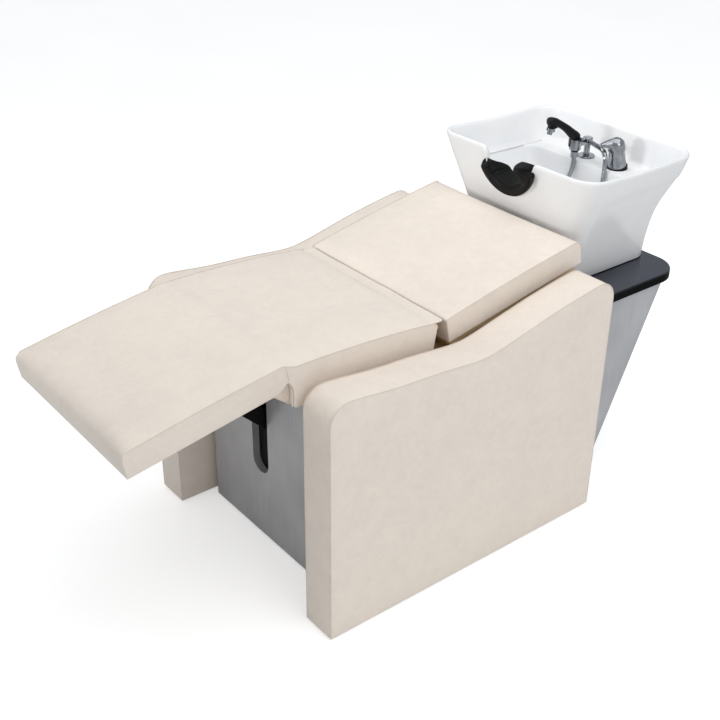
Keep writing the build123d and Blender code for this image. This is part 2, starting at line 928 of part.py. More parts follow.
def foot_hollow():
    """The space inside the foot, under the bowl's floor."""
    top = basin_floor_z - basin_base
    heights = [basin_low_z - overrun / 2, (basin_low_z + top) / 2, top]
    return loft([basin_section(z, basin_wall) for z in heights])


def rear_hollow():
    """The space under the tap deck, behind the bowl."""
    low = basin_floor_z - basin_base - basin_wall
    top = basin_deck_z - basin_wall
    front = basin_deck_front_y + basin_wall
    half = basin_foot_half_width - basin_wall
    rear = basin_foot_rear_y - basin_wall
    return block(-half, half, front, rear, low, top)


def in_neck(shape):
    """From the notch's own frame, +Y through the front wall, to the bed."""
    wall_y = basin_y - basin_flare_front * height_share(notch_centre_z) + basin_wall / 2
    return Pos(0, wall_y, notch_centre_z) * Rot(neck_lean, 0, 0) * shape


def neck_notch():
    """The cut for the neck, round below and slanted to the rim."""
    top = overrun
    mouth = notch_mouth_half_width
    fall = notch_mouth_drop
    reach = notch_radius + soft_gap
    sides = make_face(Polyline((-reach, -fall), (reach, -fall), (mouth, 0), (mouth + fall, top),
                               (-mouth - fall, top), (-mouth, 0), close=True))
    cut = Circle(reach) + sides
    return in_neck(extrude(Plane.XZ * cut, amount=overrun, both=True))


def basin():
    """The glazed ceramic wash basin."""
    rim_length = basin_foot_rear_y + basin_flare_rear - basin_y + basin_flare_front
    sag_radius = (rim_length / 2) ** 2 / (2 * basin_rim_sag) + basin_rim_sag / 2
    middle = basin_y - basin_flare_front + rim_length / 2
    wide = basin_foot_half_width + basin_flare_side + overrun
    trim = rod_x(sag_radius, -wide, wide, middle, basin_rim_z - basin_rim_sag + sag_radius)
    shell = basin_outside() - trim - basin_upper_hollow() - bowl_hollow() - foot_hollow() - rear_hollow()
    shell -= neck_notch()
    shell -= rod_z(drain_bore + soft_gap, 0, drain_y, basin_low_z, basin_floor_z + overrun / 2)
    for x, y, radius in ((mixer_x, mixer_y, shank_radius), (post_x, post_y, post_tail_radius)):
        shell -= rod_z(radius + soft_gap, x, y, basin_deck_z - 2 * basin_wall, basin_deck_z + basin_wall)
    return shell


def basin_gasket():
    """The rubber ring between the basin's foot and the shelf."""
    z = basin_low_z - gasket_thickness
    ring = basin_section(basin_low_z, gasket_thickness)
    hole = basin_section(basin_low_z, basin_wall)
    return Pos(0, 0, z - basin_low_z) * extrude(ring - hole, amount=gasket_thickness)


def neck_rest():
    """The rubber saddle over the notch's edge, with channels across it."""
    depth = neck_rest_outer - neck_rest_inner
    middle = -(neck_rest_inner + neck_rest_outer) / 2
    body = Pos(0, middle) * Rectangle(2 * neck_rest_half_width, depth)
    groove_depth = neck_rest_outer - notch_radius
    groove = Pos(0, -neck_rest_outer + groove_depth / 2) * Rectangle(2 * neck_rest_groove, groove_depth)
    profile = body - groove
    neck_side = profile.vertices().sort_by(Axis.Y)[-2:]
    profile = fillet(neck_side, neck_rest_round)
    lips = profile.vertices().sort_by(Axis.Y)[:4]
    profile = fillet(lips, neck_rest_lip_round)
    saddle = revolve(Plane.YZ * profile, Axis.Y, neck_rest_arc)
    saddle = Rot(0, neck_rest_arc / 2, 0) * Rot(0, -neck_rest_arc, 0) * saddle
    pitch = neck_rest_arc / (neck_rest_channel_count + 1)
    for index in range(neck_rest_channel_count):
        turn = pitch * (index + 1) - neck_rest_arc / 2
        channel = Rot(90, 0, 0) * Cylinder(neck_rest_channel, 2 * neck_rest_half_width)
        saddle -= Rot(0, turn, 0) * Pos(0, 0, -neck_rest_inner) * channel
    return in_neck(Rot(0, -neck_rest_turn, 0) * saddle)


# Drain

def drain_flange():
    """The chrome outlet in the basin's floor, with its tail."""
    top = basin_floor_z + drain_flange_thickness
    flange = rod_z(drain_flange_radius, 0, drain_y, basin_floor_z, top)
    flange = chamfer(flange.edges().sort_by(Axis.Z)[-1], drain_wall / 2)
    flange += rod_z(drain_bore, 0, drain_y, basin_floor_z - tailpipe_length / 2, basin_floor_z)
    flange -= rod_z(drain_bore - drain_wall, 0, drain_y, basin_floor_z - tailpipe_length, top + overrun)
    seat = strainer_radius + soft_gap
    return flange - rod_z(seat, 0, drain_y, basin_floor_z - strainer_dome / 2, top + overrun)


def hair_strainer():
    """The lift-out strainer that catches hair."""
    low = basin_floor_z - strainer_dome / 2
    plate = rod_z(strainer_radius, 0, drain_y, low, low + drain_wall)
    rise = strainer_dome
    dome_radius = (strainer_radius ** 2 + rise ** 2) / (2 * rise)
    dome = Pos(0, drain_y, low + drain_wall + rise - dome_radius) * Sphere(dome_radius)
    keep = rod_z(strainer_radius, 0, drain_y, low + drain_wall, low + drain_wall + 2 * rise)
    strainer = plate + (dome & keep)
    for index in range(strainer_hole_count):
        angle = 2 * math.pi * index / strainer_hole_count
        x = strainer_hole_circle * math.cos(angle)
        y = drain_y + strainer_hole_circle * math.sin(angle)
        strainer -= rod_z(strainer_hole, x, y, low - overrun, low + overrun)
    return strainer


def waste_nut():
    """The nut and seal that clamp the outlet under the basin's floor."""
    top = basin_floor_z - basin_base
    nut = rod_z(waste_nut_radius, 0, drain_y, top - waste_nut_height, top)
    return nut - rod_z(drain_bore, 0, drain_y, top - overrun, top + overrun)


def waste_trap():
    """The bottle trap below the shelf, on the outlet's tail."""
    tail_low = basin_floor_z - tailpipe_length / 2
    sleeve = rod_z(drain_bore + trap_wall, 0, drain_y, tail_low - tailpipe_length / 2,
                   basin_floor_z - basin_base - waste_nut_height)
    sleeve -= rod_z(drain_bore, 0, drain_y, tail_low - tailpipe_length, tail_low + tailpipe_length)
    cup_top = tail_low - tailpipe_length / 2
    cup = rod_z(trap_radius, 0, drain_y, cup_top - trap_height, cup_top)
    cup = fillet(cup.edges().filter_by(GeomType.CIRCLE), trap_wall)
    outlet_z = cup_top - trap_outlet_drop
    shoulder = trap_radius + trap_shoulder_length
    length = shoulder + trap_outlet_length
    place = Pos(0, drain_y + length / 2, outlet_z) * Rot(90, 0, 0)
    outlet = place * Cylinder(trap_outlet_radius, length)
    near = Pos(0, drain_y + shoulder / 2, outlet_z) * Rot(90, 0, 0)
    outlet += near * Cylinder(trap_shoulder_radius, shoulder)
    bore = place * Cylinder(trap_outlet_radius - trap_wall, length)
    cup_floor = cup_top - trap_height + trap_wall
    inside = rod_z(trap_radius - trap_wall, 0, drain_y, cup_floor, cup_top - trap_wall)
    inside += rod_z(drain_bore, 0, drain_y, cup_top - 2 * trap_wall, cup_top + trap_wall)
    return sleeve + (cup + outlet) - inside - bore


# Mixer tap

def in_mixer(shape):
    """From the mixer's own upright frame to the leaning mixer on the deck."""
    return Pos(mixer_x, mixer_y, basin_deck_z) * Rot(mixer_lean, 0, 0) * shape


def disc(radius, z0, z1):
    """A disc about the Z axis."""
    return Pos(0, 0, (z0 + z1) / 2) * Cylinder(radius, abs(z1 - z0))


def mixer_gasket():
    """The black ring under the mixer."""
    top = 2 * mixer_gasket_height
    ring = in_mixer(disc(mixer_gasket_radius, -top, mixer_gasket_height))
    low = basin_deck_z - overrun
    wide = block(mixer_x - overrun, mixer_x + overrun, mixer_y - overrun, mixer_y + overrun,
                 low, basin_deck_z)
    ring -= wide
    return ring - rod_z(shank_radius + soft_gap, mixer_x, mixer_y, low, basin_deck_z + overrun)


def mixer_body():
    """The chrome body, narrower at its neck and bored for the cartridge."""
    low = mixer_gasket_height
    high = low + mixer_body_height
    middle = (low + high) / 2
    body = loft([Pos(0, 0, low) * Circle(mixer_body_radius),
                 Pos(0, 0, middle) * Circle((mixer_body_radius + mixer_neck_radius) / 2),
                 Pos(0, 0, high) * Circle(mixer_neck_radius)])
    body -= disc(mixer_bore, low + mixer_body_height / 2, high + overrun)
    return in_mixer(body)


def mixer_shank():
    """The threaded shank through the deck, with its nut and two water inlets."""
    top = basin_deck_z + mixer_gasket_height / 2
    low = basin_deck_z - shank_drop
    shank = rod_z(shank_radius, mixer_x, mixer_y, low, top)
    nut_top = basin_deck_z - basin_wall
    shank += rod_z(shank_nut_radius, mixer_x, mixer_y, nut_top - shank_nut_height, nut_top)
    for sign in (-1, 1):
        shank -= rod_z(inlet_radius, mixer_x + sign * inlet_offset, mixer_y, low - overrun, low + inlet_depth)
    return shank


def mixer_cartridge():
    """The turning ceramic cartridge in the mixer's bore."""
    low = mixer_gasket_height + mixer_body_height / 2
    high = mixer_gasket_height + mixer_body_height
    stem = disc(cartridge_stem_radius, high, high + cartridge_head)
    return in_mixer(disc(cartridge_radius, low + soft_gap, high) + stem)


def lever_frame(shape):
    """From the lever's own frame, with its beak along -Y, to the mixer's top."""
    base = mixer_gasket_height + mixer_body_height + soft_gap
    return in_mixer(Pos(0, 0, base) * Rot(0, 0, mixer_turn) * shape)


def mixer_lever():
    """The hooded lever with its beak, and the pivot pin at its rear edge."""
    cap = disc(lever_radius, 0, lever_height)
    cap = fillet(cap.edges().sort_by(Axis.Z)[-1], lever_round)
    side = make_face([
        Line((lever_radius / 2, lever_height / 2), (lever_radius / 2, lever_height)),
        ThreePointArc((lever_radius / 2, lever_height), (-lever_reach / 2, lever_height + lever_rise),
                      (-lever_reach, lever_height)),
        Line((-lever_reach, lever_height), (-lever_reach, lever_height - lever_tip_thickness)),
        ThreePointArc((-lever_reach, lever_height - lever_tip_thickness),
                      (-lever_reach / 2, lever_height - lever_tip_thickness),
                      (lever_radius / 2, lever_height / 2)),
    ])
    beak = extrude(Plane.YZ * side, amount=lever_tip_width / 2, both=True)
    lever = cap + beak
    inside = lever_radius - lever_wall
    lever -= disc(inside, -overrun, cartridge_head + lever_wall)
    half = lever_pivot_length / 2
    return lever_frame(lever + rod_x(lever_pivot_radius, -half, half, lever_radius, 0))


# Handset holder

post_top_z = basin_deck_z + post_flange_height + post_height


def hose_post():
    """The chrome post on the deck, with its tail and nut below."""
    flange_top = basin_deck_z + post_flange_height
    post = rod_z(post_flange_radius, post_x, post_y, basin_deck_z, flange_top)
    post = fillet(post.edges().sort_by(Axis.Z)[-1], post_flange_height / 2)
    post += rod_z(post_radius, post_x, post_y, flange_top, post_top_z - holder_height)
    post += rod_z(post_tail_radius, post_x, post_y, basin_deck_z - post_tail_drop, basin_deck_z)
    nut_top = basin_deck_z - basin_wall
    return post + rod_z(post_nut_radius, post_x, post_y, nut_top - shank_nut_height, nut_top)


def holder_head():
    """The chrome head on the post, with an arm to the collar that holds the handset."""
    z0 = post_top_z - holder_height
    head = rod_z(holder_radius, post_x, post_y, z0, post_top_z)
    head = fillet(head.edges().sort_by(Axis.Z)[-1], post_flange_height / 2)
    half = holder_arm_width / 2
    middle = (z0 + post_top_z) / 2
    head += block(post_x - half, post_x + half, post_y - holder_reach, post_y, middle - half, middle + half)
    collar_y = post_y - holder_reach
    collar_z = collar_low_z()
    head += rod_z(collar_radius, post_x, collar_y, collar_z, collar_z + collar_height)
    head -= rod_z(collar_bore + insert_wall, post_x, collar_y, collar_z - overrun, collar_z + overrun)
    return head - in_slot(collar_slot_width / 2, collar_radius + overrun, overrun)


def in_slot(half_width, reach, above):
    """A block that fills the slot in the collar's side, which faces away from the mixer."""
    top = collar_low_z() + collar_height
    filling = block(-half_width, half_width, -reach, -collar_bore - insert_wall / 2, top - collar_slot_depth,
                    top + above)
    return Pos(post_x, post_y - holder_reach, 0) * Rot(0, 0, collar_slot_yaw) * filling


def collar_low_z():
    """The collar's lower edge."""
    return post_top_z - holder_height / 2 - collar_height / 2


def collar_insert():
    """The black plastic lining of the collar, with a rim on top and a rib that fills the collar's slot."""
    y = post_y - holder_reach
    low = collar_low_z()
    top = low + collar_height
    lining = rod_z(collar_bore + insert_wall, post_x, y, low, top)
    lining += rod_z(collar_radius, post_x, y, top, top + insert_rim)
    lining += in_slot(collar_slot_width / 2 - soft_gap, collar_radius + rib_overhang, 0)
    return lining - rod_z(collar_bore, post_x, y, low - overrun, top + overrun)


def swan_neck():
    """The rigid chrome tube that arches from the head, sideways and down, to the hose."""
    x, y, z = hose_points()[0]
    start = Vector(post_x, post_y, post_top_z - holder_height / 2)
    out = Vector(x, y, start.Z) - start
    crest = start + out * swan_crest_share + Vector(0, 0, swan_rise)
    shoulder = start + out + Vector(0, 0, swan_shoulder)
    path = FilletPolyline(start, crest, shoulder, (x, y, z), radius=swan_bend)
    tube = sweep(Plane(origin=path @ 0, z_dir=path % 0) * Circle(swan_radius), path=path)
    return tube - rod_z(holder_radius, post_x, post_y, start.Z - holder_height, start.Z + holder_height)


# Handset

def in_handset(shape):
    """From the handset's own frame, its handle towards -Y and up, to the collar's top."""
    top = collar_low_z() + collar_height + insert_rim
    return Pos(post_x, post_y - holder_reach, top) * Rot(0, 0, handle_yaw) * shape


def handset_handle():
    """The black curved handle with its head and the spigot that drops into the collar."""
    middle = (0, -handle_mid[0], handle_mid[1])
    end = (0, -handle_end[0], handle_end[1])
    path = ThreePointArc((0, 0, handle_root), middle, end)
    handle = sweep(Plane(origin=path @ 0, z_dir=path % 0) * Circle(handle_radius), path=path)
    head = Pos(*end) * Rot(-head_lean, 0, 0) * disc(head_radius, -head_height / 2, head_height / 2)
    head = fillet(head.edges().filter_by(GeomType.CIRCLE), head_round)
    depth = collar_height + insert_rim + spigot_below
    spigot = disc(spigot_radius, -depth, handle_root) + disc(handle_root_radius, soft_gap, 2 * handle_root)
    return in_handset(handle + head + spigot)


def spray_nozzle():
    """The chrome ring and nozzle under the handset's head."""
    end = (0, -handle_end[0], handle_end[1])
    low = -head_height / 2
    ring = disc(nozzle_ring_radius, low - nozzle_ring_height, low)
    tip = disc(nozzle_tip_radius, low - nozzle_ring_height - nozzle_tip_height, low - nozzle_ring_height)
    return in_handset(Pos(*end) * Rot(-head_lean, 0, 0) * (ring + tip))


def hose_nut():
    """The nut that joins the hose to the handset's spigot."""
    low = hose_points()[-1].Z + soft_gap
    return rod_z(hose_nut_radius, post_x, post_y - holder_reach, low, collar_low_z() - spigot_below)


def hose_points():
    """The hose's route where it lies in the basin."""
    return [Vector(x, basin_y + y, basin_deck_z + z) for x, y, z in hose_route]


def hose_path():
    """The hose's centre line: straight runs joined by arcs as large as the runs allow."""
    points = hose_points()
    radii = []
    for before, corner, after in zip(points, points[1:], points[2:]):
        turn = math.radians((corner - before).get_angle(after - corner))
        shorter = min((corner - before).length, (after - corner).length)
        radii.append(hose_arc_share * shorter / math.tan(turn / 2))
    return FilletPolyline(*points, radius=radii), radii


def hose_rings(path):
    """The hose's rings as (distance along it, radius), with plain ends one diameter long."""
    end = 2 * hose_radius
    pitch = (path.length - 2 * end) / hose_rib_count
    rings = [(0, hose_radius - hose_groove)]
    for index in range(hose_rib_count):
        for share, groove_share in hose_rib_shares:
            rings.append((end + (index + share) * pitch, hose_radius - hose_groove * groove_share))
    rings.append((path.length, hose_radius - hose_groove))
    return rings


def shower_hose():
    """The ribbed shower hose with its bore."""
    path, radii = hose_path()
    across = Vector(1, 0, 0)
    sections = []
    for distance, radius in hose_rings(path):
        share = distance / path.length
        along = (path % share).normalized()
        across = (across - along * across.dot(along)).normalized()
        sections.append(Plane(origin=path @ share, x_dir=across, z_dir=along) * Circle(radius))
    hose = loft(sections, ruled=True)
    section = math.pi * hose_radius ** 2
    print("hose length", round(path.length, 1), "volume over section times length",
          round(hose.volume / (section * path.length), 4))
    print("hose radii", [round(radius, 1) for radius in radii])
    return hose - sweep(Plane(origin=path @ 0, z_dir=path % 0) * Circle(hose_bore), path=path)


def all_nodes():
    """Every piece of the bed under its own name."""
    core = panel_core()
    cover = panel_cover()
    bolts = panel_bolts()
    side = body_side()
    return {
        "side_panel_core_right": core,
        "side_panel_core_left": mirrored(core),
        "side_panel_cover_right": cover,
        "side_panel_cover_left": mirrored(cover),
        "side_panel_battens": panel_battens(),
        "side_panel_bolts_right": bolts,
        "side_panel_bolts_left": mirrored(bolts),
        "body_side_right": side,
        "body_side_left": mirrored(side),
        "front_panel": front_panel(),
        "slot_liner": slot_liner(),
        "rear_panel": rear_panel(),
        "floor_board": floor_board(),
        "seat_deck": seat_deck(),
        "shelf_board": shelf_board(),
        "floor_glides": floor_glides(),
        "seat_risers": seat_risers(),
        "seat_rails": seat_rails(),
        "seat_board": seat_board(),
        "seat_cushion": seat_cushion(),
        "backrest_wedges": backrest_wedges(),
        "backrest_board": backrest_board(),
        "backrest_cushion": backrest_cushion(),
        "hinge_leaf_seat": hinge_leaf_body(),
        "hinge_pin": hinge_pin(),
        "hinge_leaf_legrest": hinge_leaf_legrest(),
        "legrest_board": in_leg(legrest_board()),
        "legrest_cushion": in_leg(legrest_cushion()),
        "legrest_wear_strip": wear_strip(),
        "lifting_arm_tube": arm_tube(),
        "lifting_arm_bracket": arm_bracket(),
        "lifting_arm_motor": drive_motor(),
        "lifting_arm_rod": arm_rod(),
        "roller_pin": roller_pin(),
        "push_roller": push_roller(),
        "basin": basin(),
        "basin_gasket": basin_gasket(),
        "neck_rest": neck_rest(),
        "drain_flange": drain_flange(),
        "hair_strainer": hair_strainer(),
        "waste_nut": waste_nut(),
        "waste_trap": waste_trap(),
        "mixer_gasket": mixer_gasket(),
        "mixer_body": mixer_body(),
        "mixer_shank": mixer_shank(),
        "mixer_cartridge": mixer_cartridge(),
        "mixer_lever": mixer_lever(),
        "hose_post": hose_post(),
        "holder_head": holder_head(),
        "collar_insert": collar_insert(),
        "hose_swan_neck": swan_neck(),
        "shower_hose": shower_hose(),
        "hose_nut": hose_nut(),
        "handset_handle": handset_handle(),
        "spray_nozzle": spray_nozzle(),
    }


nodes = all_nodes()
boxes = [shape.bounding_box() for shape in nodes.values()]
shift = -(min(box.min.Y for box in boxes) + max(box.max.Y for box in boxes)) / 2
print("shift along Y", round(shift, 4), "arm travel", round(arm_travel, 4))
os.makedirs("parts", exist_ok=True)
for name, shape in nodes.items():
    export_step(Pos(0, shift, 0) * shape, "parts/" + name + ".step")
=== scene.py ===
import math

import bmesh
import bpy
from mathutils import Matrix, Vector


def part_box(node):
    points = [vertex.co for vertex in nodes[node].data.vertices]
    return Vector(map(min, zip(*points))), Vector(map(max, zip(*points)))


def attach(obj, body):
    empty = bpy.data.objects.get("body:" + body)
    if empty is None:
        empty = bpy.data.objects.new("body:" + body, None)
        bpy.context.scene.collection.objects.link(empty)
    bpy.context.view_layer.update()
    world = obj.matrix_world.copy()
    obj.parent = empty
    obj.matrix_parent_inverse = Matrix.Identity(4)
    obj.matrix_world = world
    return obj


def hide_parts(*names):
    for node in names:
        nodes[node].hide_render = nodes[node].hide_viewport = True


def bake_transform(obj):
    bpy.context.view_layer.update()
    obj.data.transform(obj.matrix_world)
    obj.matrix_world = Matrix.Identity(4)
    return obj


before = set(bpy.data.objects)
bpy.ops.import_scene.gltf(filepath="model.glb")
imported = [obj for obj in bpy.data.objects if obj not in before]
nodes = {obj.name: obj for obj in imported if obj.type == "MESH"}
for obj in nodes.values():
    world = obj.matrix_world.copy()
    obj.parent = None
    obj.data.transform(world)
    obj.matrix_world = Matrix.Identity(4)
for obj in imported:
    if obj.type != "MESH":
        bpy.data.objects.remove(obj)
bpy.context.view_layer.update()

panel_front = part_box("side_panel_cover_right")[0][1]
MM = 0.001


def mm(x, y, z):
    """A point of the bed in metres. x is from the centre plane, y from the side panels' front edge,
    and z from the floor."""
    return Vector((x * MM, y * MM + panel_front, z * MM))


# Camera and light

def aim_camera():
    """The photograph's view, solved from the bed's straight edges."""
    turn, rise, roll = math.radians(51.5516), math.radians(29.7042), math.radians(0.60027)
    right = Vector((math.cos(turn), math.sin(turn), 0))
    back = Vector((math.sin(turn) * math.cos(rise), -math.cos(turn) * math.cos(rise), math.sin(rise)))
    up = back.cross(right)
    level = math.cos(roll) * right + math.sin(roll) * up
    upright = math.cos(roll) * up - math.sin(roll) * right
    camera = bpy.data.objects.new("camera", bpy.data.cameras.new("camera"))
    # The solved focal length of 1142.8 pixels, in a picture 720 pixels wide
    camera.data.sensor_width = 36
    camera.data.lens = 57.14
    camera.data.clip_end = 50
    place = Matrix((level, upright, back)).transposed().to_4x4()
    camera.matrix_world = Matrix.Translation(mm(1791.80, -1075.81, 1710.63)) @ place
    bpy.context.collection.objects.link(camera)
    bpy.context.scene.camera = camera


def softbox(name, place, target, size, power, spread=180):
    """A studio softbox that looks at a point. spread is its grid's angle in degrees."""
    light = bpy.data.lights.new(name, "AREA")
    light.shape = "RECTANGLE"
    light.size, light.size_y = size
    light.energy = power
    light.spread = math.radians(spread)
    box = bpy.data.objects.new(name, light)
    box.location = place
    box.rotation_euler = (Vector(target) - Vector(place)).to_track_quat("-Z", "Y").to_euler()
    box.visible_camera = False
    bpy.context.collection.objects.link(box)


def studio():
    """A white floor and an even white room, with softboxes over the bed."""
    bm = bmesh.new()
    bmesh.ops.create_grid(bm, x_segments=1, y_segments=1, size=9)
    mesh = bpy.data.meshes.new("floor")
    bm.to_mesh(mesh)
    bm.free()
    floor = bpy.data.objects.new("floor", mesh)
    bpy.context.collection.objects.link(floor)
    floor.data.materials.append(studio_white())
    softbox("top_softbox", (0.4, 0.3, 3.2), target=(0, 0, 0.5), size=(2.8, 2.6), power=30)
    softbox("side_softbox", (2.8, -0.1, 2.5), target=(0, 0, 0.45), size=(2.0, 1.8), power=20)
    softbox("basin_softbox", (-0.6, 0.45, 1.25), target=(0.15, 0.72, 0.72), size=(0.4, 0.4), power=0.22,
            spread=60)
    softbox("front_softbox", (-0.7, -2.3, 1.3), target=(0, 0.5, 0.72), size=(0.6, 0.6), power=0.6,
            spread=26)
    world = bpy.data.worlds.new("room")
    bpy.context.scene.world = world
    world.use_nodes = True
    tree = world.node_tree
    room = tree.nodes["Background"]
    room.inputs["Color"].default_value = (0.94, 0.97, 1.0, 1)
    room.inputs["Strength"].default_value = 0.54
    seen = add(tree, "ShaderNodeBackground", {"Color": (1, 1, 1, 1), "Strength": 1.0})
    path = add(tree, "ShaderNodeLightPath")
    mirror_or_eye = add(tree, "ShaderNodeMath", {0: path.outputs["Is Camera Ray"],
                                                 1: path.outputs["Is Transmission Ray"]}, operation="MAXIMUM")
    mix = add(tree, "ShaderNodeMixShader", {0: mirror_or_eye.outputs[0], 1: room.outputs[0],
                                            2: seen.outputs[0]})
    tree.links.new(mix.outputs[0], tree.nodes["World Output"].inputs["Surface"])
    bpy.context.scene.view_settings.view_transform = "Standard"


# Finishes

def linear(code):
    """An sRGB hex colour as linear values."""
    values = [int(code[i:i + 2], 16) / 255 for i in (1, 3, 5)]
    return tuple(v / 12.92 if v <= 0.04045 else ((v + 0.055) / 1.055) ** 2.4 for v in values) + (1.0,)


def add(tree, kind, inputs=None, **settings):
    """A node with its settings, its values and its links."""
    node = tree.nodes.new(kind)
    for name, value in settings.items():
        setattr(node, name, value)
    for socket, value in (inputs or {}).items():
        if isinstance(value, bpy.types.NodeSocket):
            tree.links.new(value, node.inputs[socket])
        else:
            node.inputs[socket].default_value = value
    return node


def finish(name, colour, roughness, metallic=0.0, **sockets):
    """A material with its shader set, and its node tree and place coordinates for patterns."""
    material = bpy.data.materials.new(name)
    material.use_nodes = True
    tree = material.node_tree
    shader = tree.nodes["Principled BSDF"]
    shader.inputs["Base Color"].default_value = linear(colour)
    shader.inputs["Roughness"].default_value = roughness
    shader.inputs["Metallic"].default_value = metallic
    for socket, value in sockets.items():
        shader.inputs[socket.replace("_", " ")].default_value = value
    place = add(tree, "ShaderNodeTexCoord").outputs["Object"]
    return material, tree, shader, place


def mottled(tree, shader, colours, factor, stops=(0.3, 0.7)):
    """The shader's colour runs between two colours with a pattern."""
    ramp = add(tree, "ShaderNodeValToRGB", {"Fac": factor})
    for element, colour, stop in zip(ramp.color_ramp.elements, colours, stops):
        element.color = linear(colour)
        element.position = stop
    tree.links.new(ramp.outputs["Color"], shader.inputs["Base Color"])


def spread(tree, socket, factor, low, high):
    """A shader value that runs from low to high with a pattern."""
    ranged = add(tree, "ShaderNodeMapRange", {"Value": factor, "To Min": low, "To Max": high})
    tree.links.new(ranged.outputs["Result"], socket)


def noise(tree, place, scale, detail, **sockets):
    """A cloudy pattern whose largest shapes are about 1 / scale metres across."""
    inputs = {"Vector": place, "Scale": scale, "Detail": detail, **sockets}
    return add(tree, "ShaderNodeTexNoise", inputs).outputs["Fac"]


def average(tree, first, second):
    """A pattern halfway between two."""
    both = add(tree, "ShaderNodeMath", {0: first, 1: second}, operation="ADD")
    return add(tree, "ShaderNodeMath", {0: both.outputs[0], 1: 0.5}, operation="MULTIPLY").outputs[0]


def embossed(tree, shader, height, strength, distance):
    """The shader's surface rises and falls with a pattern, by distance in metres at full strength."""
    bump = add(tree, "ShaderNodeBump", {"Height": height, "Strength": strength, "Distance": distance})
    tree.links.new(bump.outputs["Normal"], shader.inputs["Normal"])


def studio_white():
    """Painted floor that the camera sees white, and that keeps the bed's shadow."""
    material, tree, shader, place = finish("studio floor paint", "#F6F6F6", 0.9)
    broad = noise(tree, place, scale=1.2, detail=2.0)
    mottled(tree, shader, ("#F3F3F3", "#F8F8F8"), broad)
    white = add(tree, "ShaderNodeEmission", {"Color": (1, 1, 1, 1), "Strength": 0.46})
    path = add(tree, "ShaderNodeLightPath")
    lit = add(tree, "ShaderNodeAddShader", {0: shader.outputs[0], 1: white.outputs[0]})
    mix = add(tree, "ShaderNodeMixShader", {0: path.outputs["Is Camera Ray"], 1: shader.outputs[0],
                                            2: lit.outputs[0]})
    tree.links.new(mix.outputs[0], tree.nodes["Material Output"].inputs["Surface"])
    return material


def leatherette(name, light, dark):
    """PVC-coated cloth, embossed with a calf grain: soft satin highlights, and a faint cloudiness
    where the foam behind it takes up the tension."""
    material, tree, shader, place = finish(name, light, 0.46, Specular_IOR_Level=0.42, IOR=1.48,
                                           Sheen_Weight=0.08, Sheen_Roughness=0.6, Coat_Weight=0.05,
                                           Coat_Roughness=0.4)
    # Clouds about 80 mm across, and smears of 25 mm where hands and cloths have wiped it
    clouds = noise(tree, place, scale=12.0, detail=5.0, Roughness=0.62, Distortion=0.6)
    smears = noise(tree, place, scale=40.0, detail=3.0, Distortion=1.2)
    mottled(tree, shader, (dark, light), average(tree, clouds, smears), (0.34, 0.62))
    spread(tree, shader.inputs["Roughness"], clouds, 0.40, 0.56)
    # Calf grain is about 1 mm; drawn at 1.6 mm so that it shows
    grain = add(tree, "ShaderNodeTexVoronoi", {"Vector": place, "Scale": 620.0}, feature="DISTANCE_TO_EDGE")
    creases = add(tree, "ShaderNodeMapRange", {"Value": grain.outputs["Distance"], "From Max": 0.09})
    pull = noise(tree, place, scale=30.0, detail=4.0, Distortion=0.8)
    soft = add(tree, "ShaderNodeBump", {"Height": pull, "Strength": 0.22, "Distance": 0.004})
    fine = add(tree, "ShaderNodeBump", {"Height": creases.outputs["Result"], "Strength": 0.10,
                                        "Distance": 0.0002, "Normal": soft.outputs["Normal"]})
    tree.links.new(fine.outputs["Normal"], shader.inputs["Normal"])
    return material


def silver_laminate(name, light, dark):
    """High-pressure laminate with a brushed silver print: a satin sheet with fine upright streaks."""
    material, tree, shader, place = finish(name, light, 0.34, metallic=0.25, Specular_IOR_Level=0.5, IOR=1.5)
    # Streaks are under 1 mm wide and 150 mm long; drawn 2 mm wide so that they show
    stretched = add(tree, "ShaderNodeMapping", {"Vector": place, "Scale": (500.0, 500.0, 6.0)})
    streaks = noise(tree, stretched.outputs[0], scale=1.0, detail=3.0)
    broad = noise(tree, place, scale=7.0, detail=2.0)
    mottled(tree, shader, (dark, light), average(tree, streaks, broad), (0.38, 0.62))
    spread(tree, shader.inputs["Roughness"], streaks, 0.26, 0.42)
    embossed(tree, shader, streaks, strength=0.05, distance=0.0002)
    return material


def gloss_laminate():
    """Black acrylic-faced board: a deep mirror gloss under a blue-tinted coat, and a dull edge band.
    Its top is painted a lighter blue in patches as a painted sheen, and its edges and underside near black."""
    material, tree, shader, place = finish("black gloss acrylic laminate", "#0F111B", 0.09, IOR=1.45,
                                           Coat_Roughness=0.06)
    shader.inputs["Coat Tint"].default_value = (0.72, 0.8, 1.0, 1)
    # Painted sheen: the colour is a lighter blue in patches on the top, and near black where faces turn away
    # from up
    sheen_patches = noise(tree, place, scale=9.0, detail=6.0, Distortion=1.5)
    facing = add(tree, "ShaderNodeNewGeometry").outputs["Normal"]
    upward = add(tree, "ShaderNodeSeparateXYZ", {"Vector": facing}).outputs["Z"]
    on_face = add(tree, "ShaderNodeMath", {0: sheen_patches, 1: upward}, operation="MULTIPLY")
    mottled(tree, shader, ("#030304", "#1A1D2A"), on_face.outputs[0])
    spread(tree, shader.inputs["Roughness"], upward, 0.5, 0.12)
    spread(tree, shader.inputs["Coat Weight"], upward, 0.0, 0.6)
    spread(tree, shader.inputs["Specular IOR Level"], upward, 0.05, 0.4)
    return material


